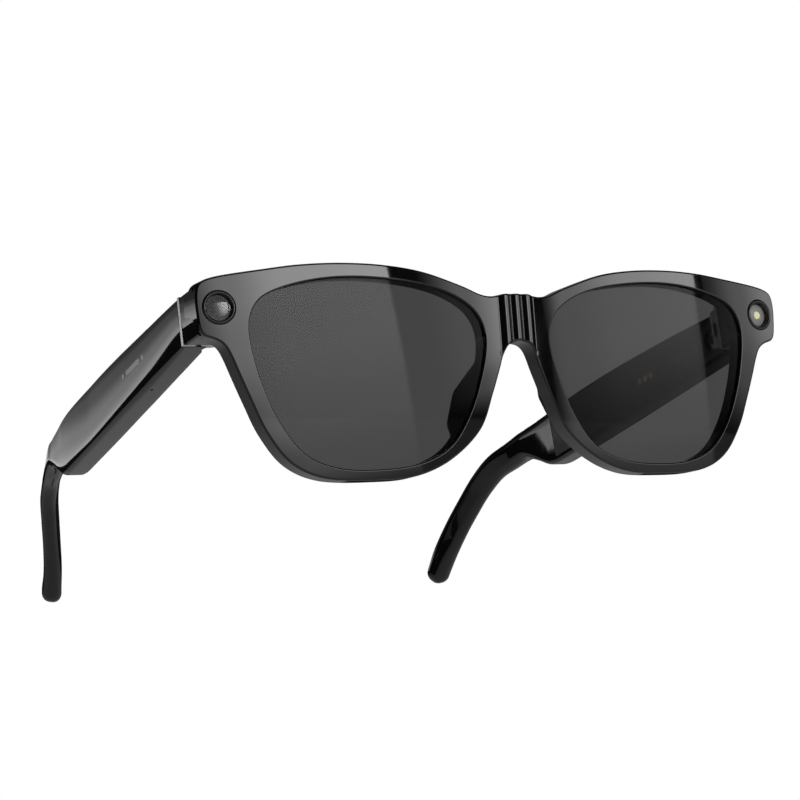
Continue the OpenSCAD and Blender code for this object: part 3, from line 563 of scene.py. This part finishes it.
def lathe(name, profile, side, spin=72, cap=False):
    """Profile of [radius, depth] turned about the axis of an eye, in as many parts as spin says.

    With cap, the profile's two ends are closed; without it, the profile is a closed loop.
    """
    mid = np.array([[side * EYE_X, 0, EYE_Z]])
    mid[0, 1] = face_y(mid[:, 0], mid[:, 2], np.zeros(1))[0]
    inward = -face_normal(mid[:, 0], mid[:, 2], np.zeros(1))[0]
    u = np.cross(inward, [0, 0, 1])
    u /= np.linalg.norm(u)
    w = np.cross(u, inward)
    rows = []
    for r, d in profile:
        a = np.arange(spin) * 2 * math.pi / spin
        rows.append(mid + inward * d + r * (np.cos(a)[:, None] * u + np.sin(a)[:, None] * w))
    v = to_row(from_front(np.vstack(rows)))
    f = []
    for k in range(len(profile) if not cap else len(profile) - 1):
        n = (k + 1) % len(profile)
        for i in range(spin):
            j = (i + 1) % spin
            f.append([k * spin + i, k * spin + j, n * spin + j, n * spin + i])
    if cap:
        f.append(list(range(spin)))
        f.append([(len(profile) - 1) * spin + i for i in range(spin)][::-1])
    me = bpy.data.meshes.new(name)
    me.from_pydata(v.tolist(), [], f)
    soften(me, 35, True)
    return me


# the temple's edges as seen from the side: back, height
TOP_EDGE = np.array([(14, 42.2), (17.7, 42.15), (30.7, 41.95), (44.3, 41.5), (58.6, 40.95), (73.7, 40.05),
                     (89.7, 38.6), (99.5, 37.3), (106, 36.3), (114, 35.3)])
BOTTOM_EDGE = np.array([(14, 31.7), (27.7, 29.95), (41.3, 28.4), (55.6, 26.9), (70.5, 25.3), (86.1, 23.75),
                        (95, 22.9), (97.6, 22.75), (100, 22.95), (102.5, 23.75), (106, 25.3), (110.5, 26.9),
                        (114, 27.2)])
HOOK_X = ARM_X - ARM_LEAN
ARM_DROP = 6.3                              # of the arm's middle line, from the seam to the belly's end
HOOK_Z = ARM_Z - ARM_DROP + 0.8
HOOK = [  # back, share of the lean, height, half thickness, half height, turn in degrees
    (114, 0.125, 31.2, 2.85, 4.0, 5), (120, 0.22, HOOK_Z - 1.6, 2.55, 3.8, 13),
    (127, 0.36, HOOK_Z * 0.895, 2.25, 3.7, 21), (TIP_Y - 20.6, 0.49, HOOK_Z * 0.775, 2.08, 3.6, 26),
    (TIP_Y - 15, 0.645, HOOK_Z * 0.62, 2.03, 3.55, 27), (TIP_Y - 10, 0.79, HOOK_Z * 0.465, 2.05, 3.55, 26),
    (TIP_Y - 4.6, 0.93, HOOK_Z * 0.28, 2.3, 3.55, 22), (TIP_Y, 1.0, TIP_R + 0.2, 2.6, 3.3, 17)]

# the arm's middle line as seen from above, smoothed where it starts to turn in
LINE_Y = np.arange(0, 141, 0.5)
LINE_X = ARM_X - ARM_LEAN * np.clip((LINE_Y - SEAM_Y) / BELLY_LEN, 0, 1) - HOOK_LEAN * np.interp(
    LINE_Y, [98, 106, 113, 120, 127], [0, 0.05, 0.11, 0.22, 0.36])
LINE_KERNEL = np.exp(-0.5 * (np.arange(-24, 25) / 8.0) ** 2)
LINE_X[24:-24] = np.convolve(LINE_X, LINE_KERNEL / LINE_KERNEL.sum(), mode="valid")


def temple_stations():
    """Stations of the whole temple, from the seam to the tip, and the direction in which it ends."""
    out = []
    ys = np.concatenate([[14.15, 14.3], np.arange(15.2, 94, 1.6), np.arange(94, 111, 0.5)])
    top_line = spline(TOP_EDGE, 12, False)
    bottom_line = spline(BOTTOM_EDGE, 12, False)
    for y in ys:
        zt = np.interp(y, top_line[:, 0], top_line[:, 1])
        zb = np.interp(y, bottom_line[:, 0], bottom_line[:, 1])
        a = ARM_T / 2 - 0.2 * np.clip((y - 100) / 14, 0, 1)
        back = np.clip((y - 40) / 60, 0, 1)
        low = np.clip((y - 96) / 16, 0, 1)
        soft = np.clip((y - 14) / 18, 0, 1)
        radii = [0.45 + 0.8 * soft + 1.0 * low, 0.5 + 0.5 * soft + 1.6 * back, 0.5 + 0.5 * soft + 1.4 * low,
                 0.5 + 0.65 * soft + 1.2 * low]
        turn = math.radians(2.0 * np.clip((y - 100) / 12, 0, 1))
        middle = (float(np.interp(y, LINE_Y, LINE_X)), y, (zt + zb) / 2)
        out.append([middle, (0, 1), a, (zt - zb) / 2, radii, turn,
                    0.38 - 0.1 * back, 0.3 - 1.3 * np.clip((y - 18) / 60, 0, 1)])
    p = spline([(111, 0.09, 31.25, 2.9, 4.15, 3)] + HOOK, 10, False)[4:]
    mid = p[:, [0, 2]]
    tang = np.gradient(mid, axis=0)
    tang /= np.linalg.norm(tang, axis=1)[:, None]
    # the hook's sections turn with it and become round, starting as the arm's last one
    for k, (row, t) in enumerate(zip(p, tang)):
        w = min(1.0, k / 24)
        up = np.array([-t[1], t[0]]) * w + np.array([0, 1]) * (1 - w)
        g = min(1.0, k / 30)
        r = [arm_r + (row[3] * 0.93 - arm_r) * g for arm_r in (2.25, 2.6, 2.4, 2.35)]
        out.append([(HOOK_X - HOOK_LEAN * row[1], row[0], row[2]), (up[0], up[1]), row[3], row[4], r,
                    math.radians(row[5]), 0.28 * (1 - g), -1.0])
    return out, tang[-1]


def temple_rings():
    """Rings of the left temple with its rounded end, and how far back each one is."""
    st, tang = temple_stations()
    rings = sweep(st)
    centre, up, a, b, radii, turn, _, _ = st[-1]
    cap = []
    reach = 2.9
    for ang in np.radians([14, 28, 42, 55, 67, 77, 84, 88.5]):
        k = math.cos(ang)
        c = np.array(centre) + np.array([-0.06, tang[0], tang[1]]) * reach * math.sin(ang)
        cap.append([tuple(c), up, max(a * k ** 0.8, 0.05), max(b * k, 0.05),
                    [r * k for r in radii], turn, 0, 0])
    rings += sweep(cap)
    return rings, np.array([r[:, 1].mean() for r in rings])


# ---------------------------------------------------------------- materials
def material(name, base, rough, metallic=0.0, specular=0.5, coat=0.0, alpha=1.0, vary=0.15, scale=260.0,
             bump=0.0, bump_scale=900.0, rough_vary=0.25, **extra):
    """Principled surface whose colour, roughness and fine relief vary over the piece."""
    m = bpy.data.materials.new(name)
    m.use_nodes = True
    nt = m.node_tree
    p = nt.nodes["Principled BSDF"]
    p.inputs["Metallic"].default_value = metallic
    p.inputs["Specular IOR Level"].default_value = specular
    p.inputs["Coat Weight"].default_value = coat
    p.inputs["Coat Roughness"].default_value = 0.03
    p.inputs["Alpha"].default_value = alpha
    for key, value in extra.items():
        p.inputs[key.replace("_", " ")].default_value = value
    tc = nt.nodes.new("ShaderNodeTexCoord")
    n1 = nt.nodes.new("ShaderNodeTexNoise")
    n1.inputs["Scale"].default_value = scale
    n1.inputs["Detail"].default_value = 4
    nt.links.new(tc.outputs["Object"], n1.inputs["Vector"])
    ramp = nt.nodes.new("ShaderNodeMapRange")
    ramp.inputs["From Min"].default_value = 0.3
    ramp.inputs["From Max"].default_value = 0.7
    ramp.inputs["To Min"].default_value = rough * (1 - rough_vary)
    ramp.inputs["To Max"].default_value = rough * (1 + rough_vary)
    nt.links.new(n1.outputs["Fac"], ramp.inputs["Value"])
    nt.links.new(ramp.outputs["Result"], p.inputs["Roughness"])
    cr = nt.nodes.new("ShaderNodeValToRGB")
    cr.color_ramp.elements[0].position = 0.3
    cr.color_ramp.elements[1].position = 0.7
    cr.color_ramp.elements[0].color = (*[c * (1 - vary) for c in base], 1)
    cr.color_ramp.elements[1].color = (*[min(1, c * (1 + vary)) for c in base], 1)
    nt.links.new(n1.outputs["Fac"], cr.inputs["Fac"])
    nt.links.new(cr.outputs["Color"], p.inputs["Base Color"])
    if bump:
        n2 = nt.nodes.new("ShaderNodeTexNoise")
        n2.inputs["Scale"].default_value = bump_scale
        n2.inputs["Detail"].default_value = 3
        nt.links.new(tc.outputs["Object"], n2.inputs["Vector"])
        b = nt.nodes.new("ShaderNodeBump")
        b.inputs["Strength"].default_value = bump
        b.inputs["Distance"].default_value = 0.0001
        nt.links.new(n2.outputs["Fac"], b.inputs["Height"])
        nt.links.new(b.outputs["Normal"], p.inputs["Normal"])
    return m


M = {
    "frame": material("gloss_black_frame", (0.0035, 0.0035, 0.004), 0.03, specular=0.55),
    "temple": material("gloss_black_temple", (0.0035, 0.0035, 0.004), 0.04, specular=0.5),
    "cover": material("satin_black_cover", (0.010, 0.010, 0.011), 0.33, bump=0.25, bump_scale=4000),
    "lens": material("grey_tinted_lens", (0.004, 0.004, 0.0045), 0.03, specular=0.1, alpha=0.765, vary=0.05,
                     rough_vary=0.1),
    "pad": material("gloss_black_pad", (0.008, 0.008, 0.009), 0.16),
    "bezel": material("dark_bezel", (0.012, 0.012, 0.013), 0.14, specular=0.6),
    "camera_glass": material("coated_glass", (0.03, 0.03, 0.036), 0.05, specular=1.0, coat=0.6,
                             alpha=0.5, rough_vary=0.1),
    "led_glass": material("grey_diffuser", (0.34, 0.34, 0.325), 0.3),
    "pupil": material("violet_coated_lens", (0.010, 0.010, 0.03), 0.03, specular=1.0, coat=1.0),
    "clear_window": material("clear_window", (0.02, 0.02, 0.02), 0.03, alpha=0.12, rough_vary=0.1),
    # painted glow: the die emits its own pale yellow light at strength 0.35, so it shines bright whatever
    # light falls on it
    "die": material("pale_yellow_die_painted_glow", (0.86, 0.84, 0.50), 0.4, vary=0.05, Emission_Strength=0.35,
                    Emission_Color=(0.86, 0.84, 0.50, 1)),
    "mark": material("grey_printed_mark", (0.42, 0.42, 0.43), 0.35, vary=0.1),
    "rubber": material("black_gasket", (0.006, 0.006, 0.006), 0.6),
    "barrel": material("anodised_barrel", (0.012, 0.012, 0.014), 0.35, metallic=0.6),
    "sensor_part": material("module_body", (0.02, 0.02, 0.025), 0.5),
    "board": material("green_board", (0.012, 0.07, 0.03), 0.4, vary=0.3),
    "flex": material("amber_flex", (0.28, 0.14, 0.03), 0.35, vary=0.2),
    "steel": material("bright_steel", (0.62, 0.62, 0.63), 0.22, metallic=1.0, bump=0.15, bump_scale=2500),
    "screw_steel": material("dark_screw_steel", (0.12, 0.12, 0.125), 0.3, metallic=1.0),
    "pin_steel": material("pin_steel", (0.5, 0.5, 0.51), 0.25, metallic=1.0),
    "cell": material("cell_foil", (0.45, 0.45, 0.47), 0.35, metallic=0.9),
    "speaker_body": material("speaker_body", (0.02, 0.02, 0.022), 0.5),
    "grille": material("grille_steel", (0.06, 0.06, 0.065), 0.35, metallic=1.0),
    "mic": material("mic_can", (0.6, 0.48, 0.25), 0.3, metallic=1.0),
    "button": material("gloss_black_button", (0.008, 0.008, 0.009), 0.14),
    "switch": material("switch_body", (0.05, 0.05, 0.055), 0.45),
    "gold": material("gold_contact", (0.75, 0.52, 0.18), 0.22, metallic=1.0),
    "magnet": material("plated_magnet", (0.55, 0.55, 0.57), 0.2, metallic=1.0),
    "sensor_film": material("copper_film", (0.55, 0.3, 0.1), 0.35, metallic=0.8),
}
for part in frame["record"]["subparts"]:
    o = nodes[part["node"]]
    o.data.materials.clear()
    o.data.materials.append(M[part["material_slot"]])

# ---------------------------------------------------------------- front
obj("front_shell", front_mesh(), "front", "frame", M["frame"], "front_frame")
for side, word in SIDES:
    name = "lens_pane_" + word
    obj(name, lens_mesh(side, name), "front", "lens", M["lens"], "lens_" + word)

BLOCK_OUTER = SIDE_X - BLOCK_GAP
for side, word in SIDES:
    st = []
    for y, trim in ((6.0, 0), (8.0, 0), (10.0, 0), (12.0, 0), (12.9, 0), (13.0, BLOCK_TRIM)):
        middle = ((BLOCK_OUTER + BLOCK_INNER) / 2, y, ARM_Z)
        st.append([middle, (0, 1), (BLOCK_OUTER - BLOCK_INNER) / 2 - trim, BLOCK_HALF_H - trim,
                   [0.45, 0.5, 0.5, 0.5], 0, 0.38, 0.3])
    name = "endpiece_" + word
    obj(name, mesh_from_rings(name, sweep(st), side), "front", "frame", M["frame"])

# ---------------------------------------------------------------- camera and light
# profiles of [radius, depth behind the face]
BEZEL = [(3.5, 1.3), (3.55, 0.15), (3.52, -0.08), (3.42, -0.22), (3.25, -0.29), (3.08, -0.27), (2.95, -0.16),
         (2.84, 0.05), (2.79, 0.3), (2.78, 0.95), (2.3, 1.02), (2.2, 1.3)]
DOME = [(0.01, 0.0), (0.7, 0.01), (1.4, 0.05), (2.0, 0.11), (2.45, 0.18), (2.68, 0.27), (2.72, 0.36),
        (2.72, 0.85), (0.01, 0.86)]
CONE = [(2.3, 1.3), (2.1, 1.42), (2.0, 1.75), (1.62, 1.8), (1.55, 2.1), (1.2, 2.16), (1.12, 2.45),
        (0.86, 2.5), (0.84, 2.9), (0.01, 2.95), (0.01, 5.4), (2.0, 5.4), (2.3, 2.0)]
PUPIL = [(0.01, 2.32), (0.3, 2.34), (0.6, 2.42), (0.8, 2.56), (0.82, 2.85), (0.01, 2.86)]
DIFFUSER = [(0.01, 0.78), (1.9, 0.8), (2.35, 0.84), (2.6, 0.9), (2.6, 1.0), (0.01, 1.0)]
DIE = [(0.01, 0.62), (0.78, 0.62), (0.92, 0.67), (0.95, 0.8), (0.01, 0.8)]
for side, word in ((-1, "camera"), (1, "led")):
    obj(word + "_ring", lathe(word + "_ring", BEZEL, side), "front", "bezel", M["bezel"], word + "_bezel")
obj("camera_dome", lathe("camera_dome", DOME, -1, cap=True), "front", "camera_glass", M["camera_glass"],
    "camera_window")
obj("camera_cone", lathe("camera_cone", CONE, -1, cap=True), "front", "barrel", M["barrel"], "camera_barrel",
    "camera_gasket")
obj("camera_pupil", lathe("camera_pupil", PUPIL, -1, cap=True), "front", "camera_glass", M["pupil"])
obj("led_dome", lathe("led_dome", DOME, 1, cap=True), "front", "led_glass", M["clear_window"], "led_window")
obj("led_diffuser", lathe("led_diffuser", DIFFUSER, 1, cap=True), "front", "led_glass", M["led_glass"])
obj("led_die", lathe("led_die", DIE, 1, spin=8, cap=True), "front", "led_glass", M["die"])

# ---------------------------------------------------------------- nose pads and brow strip
# a ball of a pad: across, back and up from the rim's corner, and its radius
PAD_BALLS = [(-0.5, 0.2, -18.5, 1.2), (2.7, 3.7, -24.5, 1.7), (5.2, 2.8, -31, 1.7), (6.2, 0, -35.5, 1.2),
             (0.9, -0.5, -26, 1.4)]


def pad_mesh(side, name):
    """Splayed drop through five balls, with a soft skin."""
    bm = bmesh.new()
    for dx, dy, dz, r in PAD_BALLS:
        centre = [side * (LENS_X0 + dx), RIM_DEPTH + dy, LENS_TOP + dz]
        centre = Vector(to_row(from_front(np.array([centre])))[0])
        bmesh.ops.create_icosphere(bm, subdivisions=3, radius=r * MM, matrix=Matrix.Translation(centre))
    hull = bmesh.ops.convex_hull(bm, input=bm.verts)
    loose = [g for g in hull["geom_interior"] + hull["geom_unused"] if isinstance(g, bmesh.types.BMVert)]
    bmesh.ops.delete(bm, geom=list(set(loose)), context="VERTS")
    me = bpy.data.meshes.new(name)
    bm.to_mesh(me)
    bm.free()
    o = bpy.data.objects.new(name, me)
    bpy.context.scene.collection.objects.link(o)
    remesh = o.modifiers.new("remesh", "REMESH")
    remesh.mode = "VOXEL"
    remesh.voxel_size = 0.00028
    smooth = o.modifiers.new("smooth", "SMOOTH")
    smooth.factor = 0.5
    smooth.iterations = 12
    out = bpy.data.meshes.new_from_object(o.evaluated_get(bpy.context.evaluated_depsgraph_get()))
    bpy.data.objects.remove(o)
    for f in out.polygons:
        f.use_smooth = True
    return out


for side, word in SIDES:
    obj("pad_" + word, pad_mesh(side, "pad_" + word), "front", "pad", M["pad"], "nose_pad_" + word)

strip = nodes["brow_cover"].data.copy()
for v in strip.vertices:
    v.co.y += STRIP_SET_BACK
obj("brow_strip", strip, "front", "cover", M["cover"], "brow_cover")

# ---------------------------------------------------------------- temples
rings, ys = temple_rings()
cut = int(np.argmin(np.abs(ys - HOOK_START)))
ARM_DIR = Vector((-ARM_LEAN, BELLY_LEN, -ARM_DROP)).normalized()
ARM_UP = Vector((1, 0, 0)).cross(ARM_DIR).normalized()
INNER = -ARM_T / 2


def arm_point(x, y, z=0.0):
    """Point of the left arm, in row millimetres: x outward, y along it from the seam, z up."""
    p = Vector((ARM_X, SEAM_Y - MIDDLE_Y, ARM_Z)) + ARM_DIR * y
    return p + Vector((1, 0, 0)) * x + ARM_UP * z


def half_height(y):
    """Half the arm's height, y behind the seam."""
    top = np.interp(y + SEAM_Y, TOP_EDGE[:, 0], TOP_EDGE[:, 1])
    return (top - np.interp(y + SEAM_Y, BOTTOM_EDGE[:, 0], BOTTOM_EDGE[:, 1])) / 2


first = rings[0].mean(0)
rings[0] = first + (rings[0] - first) * [0.95, 1, 0.97]     # a small chamfer at the seam
HINGE = (SIDE_X - ARM_T - HINGE_INSET, SEAM_Y + HINGE_BACK - MIDDLE_Y, ARM_Z)
MIC_AT, MIC_HOLE = 25.5, 0.8
CAPTURE_AT, CAPTURE_L, CAPTURE_W = 22.0, 8.6, 2.6
for side, word in SIDES:
    cutters = [
        hull_of("inner_cover_" + word, SKIN_GAP),
        round_bar(side, HINGE, (0, 1, 0), (1, 0, 0), HINGE_ROOM + 0.01, HINGE_ROOM, -30, 30),
        round_bar(side, arm_point(INNER - 1.0, 3.2), ARM_DIR, ARM_UP, 15.4, LEAF_W, -2.9, 2.9),
        round_bar(side, arm_point(1.1, MIC_AT, -half_height(MIC_AT)), ARM_DIR, (1, 0, 0),
                  MIC_HOLE + 0.01, MIC_HOLE, -1.4, 1.4)]
    if side < 0:
        place = arm_point(-0.2, CAPTURE_AT, half_height(CAPTURE_AT))
        cutters.append(round_bar(side, place, ARM_DIR, (1, 0, 0), CAPTURE_L, CAPTURE_W, -1.9, 2))
    me = carve(mesh_from_rings("temple_skin_" + word, rings[:cut + 1], side), cutters)
    obj("temple_skin_" + word, me, "temple_" + word, "temple", M["temple"], "temple_shell_" + word)
    me = mesh_from_rings("ear_hook_" + word, rings[cut:], side)
    obj("ear_hook_" + word, me, "temple_" + word, "temple", M["temple"], "ear_tip_" + word)

# generic touch mark on the right arm: a long bar between two dots
for k, (at, length) in enumerate(((-6.6, 1.21), (0, 9.0), (6.6, 1.21))):
    place = arm_point(ARM_T / 2 - 0.13, MARK_AT + at, 0.6)
    bar = round_bar(-1, place, ARM_DIR, ARM_UP, length, MARK_W, -MARK_T, MARK_T)
    soften(bar, 35)
    obj("touch_mark_%d" % k, bar, "temple_right", "temple", M["mark"])


# ---------------------------------------------------------------- stage, light and camera
def plane(name, size, z):
    """Level square, in metres."""
    bm = bmesh.new()
    bmesh.ops.create_grid(bm, x_segments=8, y_segments=8, size=size)
    me = bpy.data.meshes.new(name)
    bm.to_mesh(me)
    bm.free()
    o = bpy.data.objects.new(name, me)
    o.location.z = z
    bpy.context.scene.collection.objects.link(o)
    return o


floor = plane("floor", 6.0, FLOOR_Z)
floor.data.materials.append(
    material("pale_floor", (0.86, 0.86, 0.86), 0.6, vary=0.01, scale=3, rough_vary=0.05))


def math_node(nt, operation, first, second):
    """Math node of a tree, from two sockets or numbers."""
    node = nt.nodes.new("ShaderNodeMath")
    node.operation = operation
    for socket, value in zip(node.inputs, (first, second)):
        if isinstance(value, float):
            socket.default_value = value
        else:
            nt.links.new(value, socket)
    return node.outputs[0]


def profile_output(nt, source, stops):
    """Brightness along one side of a softbox, from a few stops."""
    ramp = nt.nodes.new("ShaderNodeValToRGB")
    ramp.color_ramp.interpolation = "EASE"
    elements = ramp.color_ramp.elements
    while len(elements) < len(stops):
        elements.new(0.5)
    for element, (at, value) in zip(elements, stops):
        element.position = at
        element.color = (value, value, value, 1)
    nt.links.new(source, ramp.inputs["Fac"])
    return ramp.outputs["Color"]


FLAT = [(0, 1), (1, 1)]


def softbox(name, centre, facing, width, height, radiance, roll=0.0, across=None, upward=None):
    """Rectangular light in metres, fading as its stops say: across from its left, upward from its foot."""
    light = bpy.data.lights.new(name, "AREA")
    light.shape = "RECTANGLE"
    light.size = width
    light.size_y = height
    light.energy = math.pi * width * height * radiance
    if across or upward:
        light.use_nodes = True
        nt = light.node_tree
        geo = nt.nodes.new("ShaderNodeNewGeometry")
        split = nt.nodes.new("ShaderNodeSeparateXYZ")
        nt.links.new(geo.outputs["Parametric"], split.inputs["Vector"])
        product = math_node(nt, "MULTIPLY", profile_output(nt, split.outputs["X"], across or FLAT),
                            profile_output(nt, split.outputs["Y"], upward or FLAT))
        nt.links.new(product, nt.nodes["Emission"].inputs["Strength"])
    o = bpy.data.objects.new(name, light)
    o.location = centre
    o.rotation_mode = "QUATERNION"
    o.rotation_quaternion = Vector(facing).to_track_quat("-Z", "Y") @ Matrix.Rotation(
        math.radians(roll), 4, "Z").to_quaternion()
    o.visible_camera = False
    bpy.context.scene.collection.objects.link(o)


PANEL_Y = -1.0


def front_panel(name, edge_x, edge_z, tilt, width, low, high, radiance, across, upward):
    """Softbox in front of the glasses, placed by the middle of its right edge."""
    t = math.radians(tilt)
    x = edge_x - width / 2 * math.cos(t)
    z = edge_z - width / 2 * math.sin(t) + (low + high) / 2
    softbox(name, (x, PANEL_Y, z), (0, 1, 0), width, high - low, radiance, tilt, across, upward)


front_panel("panel_right", 0.343, 0.04, 8.9, 0.42, -0.19, 0.22, 6.5,
            [(0, 0), (0.28, 0.12), (0.42, 0.5), (0.62, 0.9), (1, 1)],
            [(0, 0), (0.08, 0.02), (0.2, 0.2), (0.35, 0.5), (0.6, 0.9), (0.75, 1)])
front_panel("panel_bridge", 0.572, 0.07, 8.0, 0.2, -0.09, 0.23, 5.6,
            [(0, 0), (0.4, 0.35), (0.75, 0.8), (1, 1)], [(0, 0), (0.15, 0.6), (0.3, 1)])
front_panel("panel_left", 1.012, 0.07, 7.0, 0.4, -0.22, 0.25, 5.3,
            [(0, 0.05), (0.1, 0.45), (0.5, 0.85), (1, 1)],
            [(0, 0), (0.15, 0.08), (0.3, 0.4), (0.6, 0.9), (1, 1)])
front_panel("panel_side", 1.43, 0.08, 7.0, 0.4, -0.10, 0.30, 3.0,
            [(0, 0.08), (0.3, 0.5), (0.6, 1)], [(0, 0), (0.3, 0.7), (0.5, 1)])
for side, word in ((-1, "right"), (1, "left")):
    softbox("rear_panel_" + word, (side * 0.42, 1.14, 0.50), (-side * 0.33, -0.9, -0.3), 0.9, 0.46, 1.7,
            upward=[(0, 1), (0.15, 0.5), (0.3, 0.18), (0.45, 0.06), (1, 0)])
softbox("key", (0, 0.2, 1.6), (0, 0, -1), 1.4, 1.4, 0.9)

# the background is white in the picture, dim grey for diffuse light and almost black in reflections
world = bpy.data.worlds.new("studio")
bpy.context.scene.world = world
world.use_nodes = True
wn = world.node_tree
bg = wn.nodes["Background"]
path = wn.nodes.new("ShaderNodeLightPath")
mix = wn.nodes.new("ShaderNodeMix")
mix.data_type = "RGBA"
mix.inputs["A"].default_value = (0.012, 0.012, 0.012, 1)
mix.inputs["B"].default_value = (1, 1, 1, 1)
fill_light = math_node(wn, "MULTIPLY", path.outputs["Is Diffuse Ray"], 0.30)
wn.links.new(math_node(wn, "MAXIMUM", path.outputs["Is Camera Ray"], fill_light), mix.inputs["Factor"])
wn.links.new(mix.outputs["Result"], bg.inputs["Color"])

cam_data = bpy.data.cameras.new("camera")
cam = bpy.data.objects.new("camera", cam_data)
bpy.context.scene.collection.objects.link(cam)
bpy.context.scene.camera = cam
cam_data.sensor_width = 36.0
cam_data.lens = 103.51
cam_data.clip_end = 50
# the camera's place and the directions of its picture's right side and of its back, made square below
CAM_PLACE = Vector((-0.25896, -0.49798, -0.08834))
right = Vector((0.88500838, -0.4500994, -0.1190407))
back = Vector((-0.4655373, -0.85877878, -0.21394866))
right = (right - right.dot(back) / back.dot(back) * back).normalized()
back.normalize()
up = back.cross(right)
cam.matrix_world = Matrix.Translation(CAM_PLACE) @ Matrix((right, up, back)).transposed().to_4x4()
bpy.context.scene.view_settings.view_transform = "Standard"
